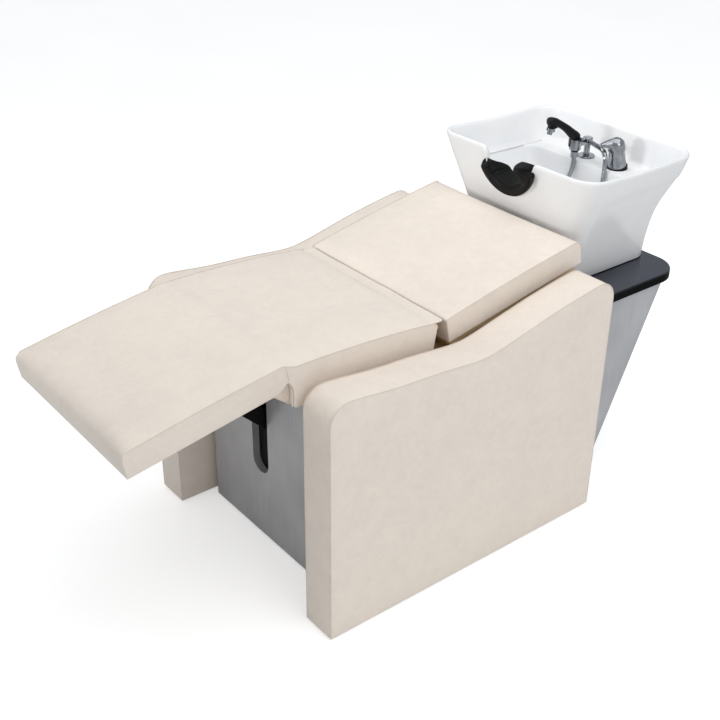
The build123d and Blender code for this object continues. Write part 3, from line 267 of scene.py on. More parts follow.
def glazed_ceramic():
    """Vitreous china under a white glaze: wet highlights, over a body that is never quite flat."""
    material, tree, shader, place = finish("white glazed vitreous china", "#F7F8F8", 0.2, IOR=1.52,
                                           Specular_IOR_Level=0.3, Coat_Weight=0.15, Coat_Roughness=0.12,
                                           Subsurface_Weight=0.04)
    shader.inputs["Subsurface Radius"].default_value = (0.003, 0.003, 0.003)
    pooled = noise(tree, place, scale=6.0, detail=3.0)
    mottled(tree, shader, ("#F2F3F4", "#FAFAFA"), pooled)
    # Kiln waviness, some 60 mm from crest to crest and well under a tenth of a millimetre high
    waves = noise(tree, place, scale=14.0, detail=1.0)
    embossed(tree, shader, waves, strength=0.12, distance=0.002)
    spread(tree, shader.inputs["Roughness"], pooled, 0.16, 0.28)
    return material


def chrome():
    """Nickel-chrome plate on polished brass: a dark clear mirror with dried water spots."""
    material, tree, shader, place = finish("polished chrome plate", "#9EA1A6", 0.07, metallic=1.0)
    spots = add(tree, "ShaderNodeTexVoronoi", {"Vector": place, "Scale": 260.0}, feature="SMOOTH_F1")
    film = noise(tree, place, scale=60.0, detail=4.0)
    mottled(tree, shader, ("#85898E", "#A9ACB0"), film)
    spread(tree, shader.inputs["Roughness"], spots.outputs["Distance"], 0.04, 0.13)
    return material


def moulded(name, light, dark, roughness, pebble, depth, specular):
    """Moulded rubber or plastic: spark-eroded mould texture, rubbed smoother on the high places.
    pebble is the texture's size in metres, and depth its height."""
    material, tree, shader, place = finish(name, light, roughness, Specular_IOR_Level=specular, IOR=1.5)
    texture = noise(tree, place, scale=1 / pebble, detail=2.0)
    rubbed = noise(tree, place, scale=25.0, detail=4.0)
    mottled(tree, shader, (dark, light), rubbed)
    spread(tree, shader.inputs["Roughness"], rubbed, roughness - 0.08, roughness + 0.08)
    embossed(tree, shader, texture, strength=0.15, distance=depth)
    return material


def coated_steel(name, light, dark, roughness, metallic, **sockets):
    """Steel with powder coat or bright zinc: a fine orange peel, and duller patches from handling."""
    material, tree, shader, place = finish(name, light, roughness, metallic=metallic, **sockets)
    peel = noise(tree, place, scale=700.0, detail=2.0)
    patches = noise(tree, place, scale=35.0, detail=5.0)
    mottled(tree, shader, (dark, light), patches)
    spread(tree, shader.inputs["Roughness"], patches, roughness - 0.07, roughness + 0.1)
    embossed(tree, shader, peel, strength=0.12, distance=0.0002)
    return material


def plywood():
    """Sanded birch plywood: pale face veneer with slow figure along the board."""
    material, tree, shader, place = finish("sanded birch plywood", "#D9BE96", 0.6, IOR=1.5)
    grain = add(tree, "ShaderNodeMapping", {"Vector": place, "Scale": (60.0, 5.0, 60.0)})
    figure = noise(tree, grain.outputs[0], scale=1.0, detail=6.0, Distortion=1.0)
    mottled(tree, shader, ("#C4A67C", "#E2CBA6"), figure)
    embossed(tree, shader, figure, strength=0.08, distance=0.0004)
    return material


# Meshes

def placed(name, mesh, material, body):
    """A smooth object of one material, riding on its body where it has one."""
    mesh.materials.clear()
    mesh.materials.append(material)
    mesh.polygons.foreach_set("use_smooth", [True] * len(mesh.polygons))
    obj = bpy.data.objects.new(name, mesh)
    bpy.context.collection.objects.link(obj)
    if body:
        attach(obj, body)
    return obj


def keep(name, bm, material, body="root", stands_for=()):
    """A finished piece from its bmesh in its material, riding on its body, with the CAD nodes that it stands
    for hidden.
    """
    mesh = bpy.data.meshes.new(name)
    bm.to_mesh(mesh)
    bm.free()
    obj = placed(name, mesh, material, body)
    if stands_for:
        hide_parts(*stands_for)
    return obj


def as_seen(obj):
    """A new mesh of the object with its modifiers, or with its curve's thickness."""
    bpy.context.view_layer.update()
    graph = bpy.context.evaluated_depsgraph_get()
    return bpy.data.meshes.new_from_object(obj.evaluated_get(graph), depsgraph=graph)


def subdivide(obj):
    """Applies one level of Subdivision Surface to the piece."""
    surface = obj.modifiers.new("subdivision", "SUBSURF")
    surface.levels = surface.render_levels = 1
    mesh, old = as_seen(obj), obj.data
    obj.modifiers.clear()
    obj.data = mesh
    bpy.data.meshes.remove(old)


def through(points, count):
    """count points on a smooth line through the given ones, evenly spaced along it."""
    steps = 12
    points = [Vector(p) for p in points]
    ends = [2 * points[0] - points[1]] + points + [2 * points[-1] - points[-2]]
    line = []
    for a, b, c, d in zip(ends, ends[1:], ends[2:], ends[3:]):
        for step in range(steps):
            t = step / steps
            line.append(0.5 * (2 * b + (c - a) * t + (2 * a - 5 * b + 4 * c - d) * t ** 2
                               + (3 * b - a - 3 * c + d) * t ** 3))
    line.append(points[-1])
    reach = [0.0]
    for a, b in zip(line, line[1:]):
        reach.append(reach[-1] + (b - a).length)
    picked, k = [], 0
    for i in range(count):
        goal = reach[-1] * i / (count - 1)
        while k < len(line) - 2 and reach[k + 1] < goal:
            k += 1
        share = (goal - reach[k]) / max(reach[k + 1] - reach[k], 1e-9)
        picked.append(line[k].lerp(line[k + 1], min(max(share, 0), 1)))
    return picked


def quad_block(along, across, up):
    """A unit block from 0 to 1, cut into quads along Y, X and Z."""
    bm = bmesh.new()
    bmesh.ops.create_cube(bm, size=1, matrix=Matrix.Translation((0.5, 0.5, 0.5)))
    for axis, cuts in ((1, along), (0, across), (2, up)):
        edges = [e for e in bm.edges if abs(e.verts[0].co[axis] - e.verts[1].co[axis]) > 1e-4]
        bmesh.ops.subdivide_edges(bm, edges=edges, cuts=cuts - 1, use_grid_fill=True)
    return bm


def next_ring(bm, ring):
    """A new ring of points, joined to the last one by quads."""
    chosen = set(ring)
    edges = {edge for vert in ring for edge in vert.link_edges if edge.other_vert(vert) in chosen}
    made = bmesh.ops.extrude_edge_only(bm, edges=list(edges))["geom"]
    fresh = {vert for vert in made if isinstance(vert, bmesh.types.BMVert)}
    return [next(e.other_vert(v) for e in v.link_edges if e.other_vert(v) in fresh) for v in ring]


def skin(rings, closed=True):
    """A skin over rings that all have as many points, filled at both ends where it is closed."""
    bm = bmesh.new()
    ring = first = bmesh.ops.create_circle(bm, segments=len(rings[0]), radius=1)["verts"]
    for number, spots in enumerate(rings):
        if number:
            ring = next_ring(bm, ring)
        for vert, spot in zip(ring, spots):
            vert.co = spot
    if closed:
        bmesh.ops.contextual_create(bm, geom=first)
        bmesh.ops.contextual_create(bm, geom=ring)
    bmesh.ops.recalc_face_normals(bm, faces=bm.faces[:])
    return bm


def rings_along(points, radii, sides):
    """Round rings square to a line, each turned as little as can be from the last."""
    rings, across = [], None
    for number, (point, radius) in enumerate(zip(points, radii)):
        ahead = points[min(number + 1, len(points) - 1)] - points[max(number - 1, 0)]
        ahead.normalize()
        if across is None:
            across = ahead.orthogonal().normalized()
        across = (across - ahead * across.dot(ahead)).normalized()
        beside = ahead.cross(across)
        turns = [2 * math.pi * k / sides for k in range(sides)]
        rings.append([point + radius * (math.cos(t) * across + math.sin(t) * beside) for t in turns])
    return rings


def blended(shares, at):
    """The value at a place on a smooth line through (place, value) pairs."""
    k = max(i for i, (place, _) in enumerate(shares[:-1]) if place <= at or i == 0)
    before, after = shares[max(k - 1, 0)], shares[min(k + 2, len(shares) - 1)]
    (x0, y0), (x1, y1) = shares[k], shares[k + 1]
    # A cubic whose slope at each place is that of the line between the places beside it
    slope0 = (y1 - before[1]) / (x1 - before[0])
    slope1 = (after[1] - y0) / (after[0] - x0)
    span = x1 - x0
    t = min(max((at - x0) / span, 0), 1)
    return ((2 * t ** 3 - 3 * t ** 2 + 1) * y0 + (t ** 3 - 2 * t ** 2 + t) * span * slope0
            + (3 * t ** 2 - 2 * t ** 3) * y1 + (t ** 3 - t ** 2) * span * slope1)


def with_welt(t, count, margin):
    """A share of the way with its first and last steps drawn in to margin, for a crisp sewn edge."""
    k = round(t * count)
    if k in (0, count):
        return float(k > 0)
    return margin + (1 - 2 * margin) * (k - 1) / (count - 2)


def swell(obj, sewn, cap):
    """Foam swells under the cover: cloth under pressure, held where it is sewn, then capped."""
    frames = 20
    scene = bpy.context.scene
    rest = [v.co.copy() for v in obj.data.vertices]
    group = obj.vertex_groups.new(name="sewn")
    group.add([i for i, p in enumerate(rest) if sewn[i]], 1, "REPLACE")
    foam = obj.modifiers.new("foam", "CLOTH")
    cloth = foam.settings
    cloth.quality = 5
    cloth.mass = 0.3
    cloth.tension_stiffness = cloth.compression_stiffness = 12
    cloth.bending_stiffness = 0.8
    cloth.use_pressure = True
    cloth.uniform_pressure_force = 4
    cloth.vertex_group_mass = "sewn"
    cloth.effector_weights.gravity = 0
    foam.point_cache.frame_start, foam.point_cache.frame_end = 1, frames
    for number in range(1, frames + 1):
        scene.frame_set(number)
    graph = bpy.context.evaluated_depsgraph_get()
    swollen = obj.evaluated_get(graph).to_mesh()
    for vertex, start, now in zip(obj.data.vertices, rest, swollen.vertices):
        move = now.co - start
        far = move.length
        if far > 1e-7:
            vertex.co = start + move * (cap * math.tanh(far / cap) / far)
    obj.evaluated_get(graph).to_mesh_clear()
    obj.modifiers.clear()
    obj.vertex_groups.clear()
    scene.frame_set(1)


def seam(name, points, radius, material, body="root"):
    """The rolled edge of a sewn seam, as a thin round line through its points."""
    curve = bpy.data.curves.new(name, "CURVE")
    curve.dimensions = "3D"
    curve.bevel_depth = radius
    curve.bevel_resolution = 1
    spline = curve.splines.new("POLY")
    spline.points.add(len(points) - 1)
    for spot, point in zip(spline.points, points):
        spot.co = (*point, 1)
    drawn = bpy.data.objects.new(name + "_line", curve)
    bpy.context.collection.objects.link(drawn)
    mesh = as_seen(drawn)
    bpy.data.objects.remove(drawn)
    obj = placed(name, mesh, material, body)
    return obj


# Upholstery

# Radii of the seams' rolled edges, in metres
fine_seam, plain_seam, thick_piping = 0.0009, 0.0010, 0.0016


def sewn_block(stations, half_width, across, up, crown, margin_x, margin_z):
    """A padded block whose stations each give a top and a bottom point as (y, z) in millimetres.
    across and up are its counts of quads, and the margins the shares of them that the welts take.
    It comes with the flags of its sewn points and with its two upper edges."""
    bm = quad_block(len(stations) - 1, across, up)
    last = len(stations) - 1
    flags, edges = [], {0: {}, 1: {}}
    for v in bm.verts:
        a, b, c = v.co
        k = round(b * last)
        top, bottom = stations[k]
        x = 2 * with_welt(a, across, margin_x) - 1
        z = with_welt(c, up, margin_z)
        y = bottom[0] + (top[0] - bottom[0]) * z
        height = bottom[1] + (top[1] - bottom[1]) * z
        dome = (1 - x ** 4) * crown * math.sin(math.pi * min(max(b, 0), 1)) ** 0.5
        if c > 0.999:
            height += dome
        side = half_width(y)
        v.co = mm(x * side, y, height)
        on_side, on_end, on_face = a in (0, 1), k in (0, last), c < 0.001 or c > 0.999
        flags.append((on_side and on_end) or (on_side and on_face) or (on_end and on_face) or c < 0.001)
        if on_side and c > 0.999:
            edges[round(a)][k] = v.co.copy()
    bmesh.ops.recalc_face_normals(bm, faces=bm.faces[:])
    lines = [[edges[side][k] for k in sorted(edges[side])] for side in (0, 1)]
    return bm, flags, lines


# The corners' radius and centres, seen from the side, and the seams' lower ends in metres
panel_corner, front_corner, rear_corner = 45, (45, 532.5), (745, 572)
panel_centre, panel_half, panel_foot = 306, 43.4, 4.5
panel_seam_foot = 0.006


def panel_profile():
    """The side panel's top line as (y, z), round at both ends."""
    front, rear = [], []
    for step in range(9):
        turn = math.radians(90 * step / 8)
        aside, above = panel_corner * math.sin(turn), panel_corner * math.cos(turn)
        front.append((front_corner[0] - above, front_corner[1] + aside))
        rear.append((rear_corner[0] + aside, rear_corner[1] + above))
    middle = [(45, 577.5), (70, 576), (169, 565), (273, 559), (383, 549.5), (440, 555), (526, 575),
              (614, 595), (706, 611.5), (745, 617)]
    line = [tuple(p) for p in through([(y, z, 0) for y, z in middle], 60)]
    return front + [(y, z) for y, z, _ in line[1:-1]] + rear


def side_panels(vinyl, thread):
    """The two padded side panels: flat faces sewn to a narrow band with crisp seams."""
    profile = panel_profile()
    stations = [((y, z), (y, panel_foot)) for y, z in profile]
    for hand, side in (("right", 1), ("left", -1)):
        bm, flags, lines = sewn_block(stations, lambda y: panel_half, across=8, up=44, crown=1.5,
                                      margin_x=0.05, margin_z=0.008)
        aside = Vector((side * panel_centre * MM, 0, 0))
        bmesh.ops.translate(bm, verts=bm.verts[:], vec=aside)
        panel = keep("side_panel_" + hand, bm, vinyl, stands_for=("side_panel_cover_" + hand,))
        swell(panel, flags, cap=0.0045)
        subdivide(panel)
        for number, line in enumerate(lines):
            shifted = [p + aside for p in line]
            foot = [Vector((shifted[0].x, shifted[0].y, panel_seam_foot))]
            heel = [Vector((shifted[-1].x, shifted[-1].y, panel_seam_foot))]
            seam("side_panel_%s_seam_%d" % (hand, number), foot + shifted + heel, fine_seam, thread)


# The leg rest's hinge and faces, seen from the side, and the half widths of both cushions
leg_slope = math.radians(9.5)
hinge_y, hinge_z = -4, 562
leg_underside, leg_face = 4.4, 61.5
seat_underside, seat_face = 522.4, 617
leg_half, seat_half_more = 228.4, 8.2


def on_leg(y, z):
    """From the leg rest's level frame at its hinge to (y, z) in millimetres."""
    return (hinge_y + y * math.cos(leg_slope) - z * math.sin(leg_slope),
            hinge_z + y * math.sin(leg_slope) + z * math.cos(leg_slope))


def beside(cover, side, y, z):
    """The point of the cover's side at a place seen square from that side."""
    well_outside, usual_half = 400, 232
    hit, spot, _, _ = cover.ray_cast(mm(side * well_outside, y, z), (-side, 0, 0))
    return spot if hit else mm(side * usual_half, y, z)


def couch_cover(vinyl, thread):
    """Seat and leg rest under one cover, folded over the hinge, with a notch below the fold."""
    stations = []
    for top_y, top_z, low_y in ((-363, 42, -363), (-362.2, 51, -361), (-358, 57, -357), (-351, 60.5, -350),
                                (-342, 61.5, -341)):
        stations.append((on_leg(top_y, top_z), on_leg(low_y, leg_underside)))
    for step in range(1, 35):
        y = -342 + step * 9.2
        stations.append((on_leg(y, leg_face + 2.5 * math.sin(math.pi * step / 35)), on_leg(y, leg_underside)))
    fold_top = through([(*on_leg(-20, 61.8), 0), (-27, 621.0, 0), (-20, 621.6, 0), (-11, 619.8, 0),
                        (0, 617.6, 0), (11, 616.8, 0), (24, 617.0, 0)], 19)
    fold_low = through([(-31, 563.6, 0), (-24, 568.4, 0), (-20.3, 572.7, 0), (-16, 580, 0), (-12.4, 583.7, 0),
                        (-8.6, 580.6, 0), (-3.4, 570, 0), (-1.4, 556, 0), (-1.2, 535, 0), (0, 525, 0),
                        (3, seat_underside, 0)], 19)
    stations += [((top.x, top.y), (low.x, low.y)) for top, low in zip(fold_top, fold_low)]
    for step in range(1, 39):
        share = step / 39
        stations.append(((24 + 326 * share, seat_face - 19 * share ** 2), (3 + 346 * share, seat_underside)))
    rear_edge = ((356.5, 596.8, 351), (361.8, 594, 353.4), (365, 589.6, 354.6), (366, 583, 355))
    stations += [((top_y, top_z), (low_y, seat_underside)) for top_y, top_z, low_y in rear_edge]

    def half_width(y):
        share = min(max((y + 30) / 36, 0), 1)
        return leg_half + seat_half_more * share * share * (3 - 2 * share)

    bm, flags, lines = sewn_block(stations, half_width, across=50, up=10, crown=3.5, margin_x=0.008,
                                  margin_z=0.06)
    cover = keep("seat_and_legrest_cover", bm, vinyl, body=None,
                 stands_for=("seat_cushion", "legrest_cushion"))
    swell(cover, flags, cap=0.005)
    subdivide(cover)
    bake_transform(cover)
    for number, line in enumerate(lines):
        edge = seam("couch_seam_%d" % number, line[3:], plain_seam, thread, body=None)
        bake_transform(edge)
        side = (-1, 1)[number]
        upright = [beside(cover, side, -16.4 + 0.45 * step, 617.6 - 2.6 * step) for step in range(13)]
        joined = seam("fold_seam_%d" % number, upright, fine_seam, thread, body=None)
        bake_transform(joined)


def backrest(vinyl, thread):
    """The backrest pad on its slope, boxed at its sides and rolled over at both ends."""
    slope = math.radians(10.7)
    foot_y, foot_z = 388, 596
    underside, half_width = -59.6, 239.4

    def on_back(y, z):
        return (foot_y + y * math.cos(slope) - z * math.sin(slope),
                foot_z + y * math.sin(slope) + z * math.cos(slope))

    places = [(0.3, -5, 0.3), (2, -1.2, 2), (6, 0.6, 6)]
    for step in range(43):
        y = 14 + step * 8.9
        places.append((y, 1 + 3 * math.sin(math.pi * y / 408), y))
    places += [(396, 0.2, 396), (403, -3, 402), (407, -9, 406), (407.7, -17, 407.7)]
    stations = [(on_back(top_y, top_z), on_back(low_y, underside)) for top_y, top_z, low_y in places]
    bm, flags, lines = sewn_block(stations, lambda y: half_width, across=50, up=8, crown=4, margin_x=0.008,
                                  margin_z=0.07)
    pad = keep("backrest_pad", bm, vinyl, stands_for=("backrest_cushion",))
    swell(pad, flags, cap=0.005)
    subdivide(pad)
    for number, line in enumerate(lines):
        seam("backrest_seam_%d" % number, line, plain_seam, thread)


def seat_flap(vinyl):
    """The vinyl flap that runs on from the seat's rear edge and hides the gap to the backrest."""
    line = [(352, 598), (358, 597.9), (364, 597.4), (370, 596.8), (376, 596.5), (381, 596.4), (384.4, 596),
            (385.6, 594.6), (385.2, 592.6), (382, 591.9), (376, 592), (370, 592), (364, 592.4), (358, 593),
            (352, 593)]
    half_width = 234.5
    rings = []
    for step in range(41):
        x = half_width * (step / 20 - 1)
        sag = 0.8 * math.sin(x / 31) * math.sin(x / 83 + 1)
        rings.append([mm(x, y, z + sag * min(max((y - 366) / 14, 0), 1)) for y, z in line])
    flap = keep("seat_flap", skin(rings), vinyl)
    subdivide(flap)


gusset_half, cloth = 219, 1.2


def fold_gusset(vinyl):
    """The slack vinyl under the fold, from the leg rest's underside to the seat's lower front edge."""
    bm = bmesh.new()
    bmesh.ops.create_grid(bm, x_segments=60, y_segments=12, size=0.5)
    for v in bm.verts:
        across, along = v.co.x * 2, v.co.y + 0.5
        seat_y, seat_z = -1.2, 524.5
        leg_y, leg_z = on_leg(-40, 2.6)
        creased = 1 + 0.35 * math.sin(across * 9) + 0.2 * math.sin(across * 23)
        hang = 2.5 * math.sin(math.pi * along) * creased
        v.co = mm(across * gusset_half, seat_y + (leg_y - seat_y) * along + hang * 0.35,
                  seat_z + (leg_z - seat_z) * along + hang * 0.8)
    bmesh.ops.recalc_face_normals(bm, faces=bm.faces[:])
    bmesh.ops.solidify(bm, geom=bm.faces[:], thickness=cloth * MM)
    gusset = keep("fold_gusset", bm, vinyl, body=None)
    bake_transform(gusset)


def gusset_ends(vinyl, thread):
    """The folded vinyl that closes the notch under the fold at each side, and the piping beside it."""
    contour = through([(*on_leg(-40, 3), 0), (-31, 564, 0), (-20.3, 573, 0), (-12.4, 583, 0), (-4, 570, 0),
                       (-1.6, 550, 0), (-1.4, 524.5, 0)], 41)
    for side, hand in ((-1, "left"), (1, "right")):
        rings = []
        for number, high in enumerate(contour):
            along = number / 40
            low = Vector((*on_leg(-40, 2.6), 0)).lerp(Vector((-1.4, 524.3, 0)), along)
            column = []
            for step in range(13):
                rise = step / 12
                dish = 9 * math.sin(math.pi * rise) * math.sin(math.pi * along)
                fold = 1.1 * math.sin(math.pi * 5 * (along + 0.25 * rise)) * math.sin(math.pi * rise)
                spot = low.lerp(high, rise)
                column.append((gusset_half - dish + fold, spot.x, spot.y))
            rings.append([mm(side * x, y, z) for x, y, z in column]
                         + [mm(side * (x - cloth), y, z) for x, y, z in reversed(column)])
        end = keep("gusset_end_" + hand, skin(rings), vinyl, body=None)
        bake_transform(end)
        piping = [mm(side * 230.5, -3.6 - 0.4 * math.sin(step), 567 - step * 3.3) for step in range(13)]
        seam("gusset_piping_" + hand, piping, thick_piping, thread)


# Basin

basin_low, basin_rise = 505.0, 302
rim_top = basin_low + basin_rise
# The rim's front and length, and how far it sags between its ends and drops to its rear
rim_front, rim_length, rim_sag, rim_drop = 787, 391, 8, 5
# Half widths: of the foot, and what the rear and the front add up to the rim
foot_half, rear_half_more, front_half_more = 151, 99, 105
# The front and the rear of the foot, and how far each leans out up to the rim
basin_front, front_lean = 850, 68
basin_rear, rear_lean = 1165, 13
wall = 13.6
# Heights from which the rim's sag and the neck notch draw the wall down
sag_from, notch_from = 730, 640
notch_radius, notch_centre, notch_opening = 76, 800, 0.6
deck_front, deck_depth, deck_top, deck_slope = 1075, 90, 722, 0.04
drain_radius, drain_y = 22.6, 962
basin_columns = 300
flare_line = [(0, 0), (0.19, 0.05), (0.39, 0.17), (0.52, 0.32), (0.65, 0.53), (0.82, 0.81), (1, 1)]


def straight_at(z):
    """The share of the basin's height at z, from 0 at its foot to 1 at its rim."""
    return min(max((z - basin_low) / basin_rise, 0), 1)


def flare_at(z):
    """How far the basin has flared at a height, from 0 at its foot to 1 at its rim."""
    return blended(flare_line, straight_at(z))


def rim_height(y):
    """The rim's top, a little lower between its front and rear."""
    share = (y - rim_front) / rim_length
    return rim_top - rim_sag * 4 * share * (1 - share) - rim_drop * max(share, 0) ** 2


def notch_height(x):
    """The neck notch's edge across the front wall: a half round that opens out at its top."""
    far = abs(x)
    if far < notch_radius:
        return notch_centre - math.sqrt(notch_radius ** 2 - far ** 2)
    return notch_centre + (far - notch_radius) * notch_opening


def ring_spot(share, half, y0, y1, corner):
    """A point of a rounded rectangle, share of the way round from the middle of its front."""
    # Each side and corner has the same shares on every ring, so the columns stay upright
    front_end, front_turned, side_end, rear_turned, middle = 0.12, 0.2, 0.37, 0.45, 0.5
    side, at = (1, share) if share <= middle else (-1, 1 - share)
    straight = half - corner
    if at <= front_end:
        return side * straight * at / front_end, y0
    if at <= front_turned:
        turn = math.pi / 2 * (at - front_end) / (front_turned - front_end)
        return side * (straight + corner * math.sin(turn)), y0 + corner - corner * math.cos(turn)
    if at <= side_end:
        run = (y1 - y0 - 2 * corner) * (at - front_turned) / (side_end - front_turned)
        return side * half, y0 + corner + run
    if at <= rear_turned:
        turn = math.pi / 2 * (at - side_end) / (rear_turned - side_end)
        return side * (straight + corner * math.cos(turn)), y1 - corner + corner * math.sin(turn)
    return side * straight * (middle - at) / (middle - rear_turned), y1


def basin_rings():
    """The basin's skin from its foot up outside, over the rim and down into the bowl.
    Each ring gives its height, its inset and, where the tap deck begins, its own inset at the rear."""
    rings = [(505, 12.5, None), (505, 0.6, None), (506.5, 0, None)]
    rings += [(z, 0, None) for z in (530, 555, 580, 605, 630, 650, 670, 690, 710, 730, 748, 764, 778, 789,
                                     796)]
    rings += [(800.6, 0.6, None), (804.4, 2.6, None), (806.6, 5.4, None), (806.9, 8.2, None),
              (805.2, 11, None), (801.5, 12.8, None), (796, 13.4, None)]
    rings += [(z, wall, None) for z in (786, 774, 762, 750, 740, 732)]
    rings += [(726.5, 14.5, 2.2), (723.2, 17, 5.5), (721.4, 19, 12)]
    return rings


def widening(y, front, rear, straight, flare):
    """How much wider the basin is at y than at its rear. Its front widens evenly with height, and its
    rear with the flare, which is mostly near the rim."""
    at_front = 1 - (y - front) / (rear - front)
    rear_half = foot_half + rear_half_more * flare
    return 1 + (front_half_more * straight - rear_half_more * flare) / rear_half * at_front


def shell_ring(z, inset, rear):
    """One ring of the basin's shell, with the rim's sag and the neck notch."""
    flare, straight = flare_at(z), straight_at(z)
    half = foot_half + rear_half_more * flare - inset
    y0 = basin_front - front_lean * straight + inset
    y1 = basin_rear + rear_lean * flare - (inset if rear is None else wall + rear)
    spots = []
    for k in range(basin_columns):
        x, y = ring_spot(k / basin_columns, half, y0, y1, 46 + 14 * flare - inset * 0.8)
        x *= widening(y, y0, y1, straight, flare)
        height, rim, edge = z, rim_height(y), notch_height(x)
        if z > sag_from:
            height = basin_low + (z - basin_low) * (rim - basin_low) / basin_rise
        if y < basin_front and z > notch_from and edge < rim:
            height = notch_from + (height - notch_from) * (edge - notch_from) / (rim - notch_from)
        spots.append(mm(x, y, height))
    return spots


def bowl_ring(z, inset):
    """One ring of the bowl below the tap deck, whose rear edge stops at the deck's front."""
    flare, straight = flare_at(z), straight_at(z)
    half = foot_half + rear_half_more * flare - wall - inset
    front = basin_front - front_lean * straight + wall + inset
    rear = deck_front - deck_slope * (deck_top - z) - inset
    spots = []
    for k in range(basin_columns):
        x, y = ring_spot(k / basin_columns, half, front, rear, 44 - inset * 0.4)
        spots.append(mm(x * widening(y, front, rear + deck_depth, straight, flare), y, z))
    return spots


def basin(china):
    """The glazed basin, drawn as rings from its foot over its rim into the bowl and the drain."""
    rings = [shell_ring(*spec) for spec in basin_rings()]
    rings += [bowl_ring(z, inset) for z, inset in (
        (721.9, 2.0), (719.5, 3.2), (715, 4.2), (705, 4.6), (690, 5), (672, 7), (655, 11), (641, 17),
        (631, 25), (625, 36), (622.4, 50), (622, 70))]
    for z in (621.8, 600):
        turns = [2 * math.pi * k / basin_columns for k in range(basin_columns)]
        rings.append([mm(drain_radius * math.sin(t), drain_y - drain_radius * math.cos(t), z) for t in turns])
    keep("ceramic_basin", skin(rings, closed=False), china, stands_for=("basin",))


# Neck rest

neck_lean = math.radians(11.8)
neck_y, neck_half = 795, 34
left_end, right_end = -58, 82
# Half the rest's section: distance across the wall, and from the notch's centre
neck_section = [(0, 62), (6, 62), (12, 62), (18, 62.2), (23, 63.2), (27, 65.6), (29.6, 69), (31, 73.5),
                (31.6, 79), (31.4, 84), (30.2, 87.6), (27.6, 89), (22, 89.2), (17, 88.8), (13, 87.6),
                (11.2, 85), (11, 81), (11, 77.4), (9.8, 76.2), (5, 76), (0, 76)]
neck_section += [(-y, r) for y, r in neck_section[-2:0:-1]]


# How far the left horn's end runs on past its last section: (place across its width, degrees)
horn_end = [(-32, -11), (-20, -17), (-12, -16), (0, -7), (12, 1), (20, 9), (32, 21)]


def neck_ring(turn):
    """One section of the neck rest, turned round the notch's centre. Both horns end in rolls,
    and the one on the taps' side, pushed up by use, has the fatter one."""
    from_end = min(turn - left_end, right_end - turn)
    fat, lean_in, rounding = (30, 14, 3.5) if turn > 0 else (3, 0, 5)
    left = max((-30 - turn) / 28, 0)
    flange = 1 - 0.85 * min(max((turn - 44) / 26, 0), 1)
    end = math.sqrt(max(1 - max(1 - from_end / rounding, 0) ** 2, 0.003))
    rolled = math.sin(math.pi * min(max(1 - from_end / 26, 0), 0.62)) ** 0.8
    ribbed = min(max((from_end - 22) / 3, 0), 1)
    rib = 1.2 * abs(math.sin(math.pi * turn / 6)) ** 0.6
    crease = 1.8 * math.exp(-((from_end - 20) / 1.1) ** 2)
    spots = []
    for y, r in neck_section:
        inner = min(max((74 - r) / 10, 0), 1)
        middle = min(max((26 - abs(y)) / 6, 0), 1)
        reach = notch_radius + (r - notch_radius) * end
        roll = fat * rolled * math.sqrt(1 - (y / neck_half) ** 2)
        reach += inner * (crease + middle * ribbed * (1.2 - rib) - roll * end)
        wide = y if abs(y) <= 11 else math.copysign(11 + (abs(y) - 11) * end, y)
        if y > 11:
            wide = 11 + (wide - 11) * flange
        wide -= lean_in * inner * rolled
        slant = left * blended(horn_end, y)
        angle = math.radians(turn + slant + 10 * inner * rolled * (turn > 0))
        height = -reach * math.cos(angle)
        spots.append(mm(reach * math.sin(angle),
                        neck_y + wide * math.cos(neck_lean) - height * math.sin(neck_lean),
                        notch_centre + wide * math.sin(neck_lean) + height * math.cos(neck_lean)))
    return spots


def neck_rest(material):
    """The ribbed rubber saddle that grips the notch's edge."""
    turns = [-58, -57.7, -57, -56, -54.5, -52.8] + [-51 + k * 0.6 for k in range(211)]
    turns += [76.8, 78.5, 80, 81, 81.7, 82]
    keep("ribbed_neck_rest", skin([neck_ring(turn) for turn in turns]), material,
         stands_for=("neck_rest",))


# Taps

collar_x, collar_y = -42, 1064.006
mixer_x, mixer_y = 62, 1108.006
hose_route = [(0.060, 0.659237, 0.728), (0.060, 0.659237, 0.692), (0.068, 0.642237, 0.658),
              (0.086, 0.608237, 0.634), (0.100, 0.568237, 0.6286), (0.092, 0.524237, 0.6286),
              (0.056, 0.496237, 0.6286), (0.008, 0.488237, 0.6286), (-0.042, 0.496237, 0.6286),
              (-0.082, 0.522237, 0.6286), (-0.098, 0.562237, 0.6286), (-0.088, 0.602237, 0.632),
              (-0.066, 0.626237, 0.648), (-0.044, 0.650237, 0.677), (-0.042, 0.660237, 0.706),
              (-0.042, 0.660237, 0.730)]


def route_line(route):
    """Points along the smooth line that the route's points shape."""
    curve = bpy.data.curves.new("route", "CURVE")
    curve.dimensions = "3D"
    curve.resolution_u = 24
    spline = curve.splines.new("NURBS")
    spline.points.add(len(route) - 1)
    for spot, point in zip(spline.points, route):
        spot.co = (*point, 1)
    spline.order_u = 3
    spline.use_endpoint_u = True
    drawn = bpy.data.objects.new("route", curve)
    mesh = bpy.data.meshes.new_from_object(drawn)
    line = [vertex.co.copy() for vertex in mesh.vertices]
    bpy.data.objects.remove(drawn)
    bpy.data.meshes.remove(mesh)
    return line


def even(line, step):
    """The line's points again, a step apart."""
    picked, ahead = [line[0]], step
    for a, b in zip(line, line[1:]):
        run = (b - a).length
        while ahead <= run:
            picked.append(a.lerp(b, ahead / run))
            ahead += step
        ahead -= run
    return picked + [line[-1]]


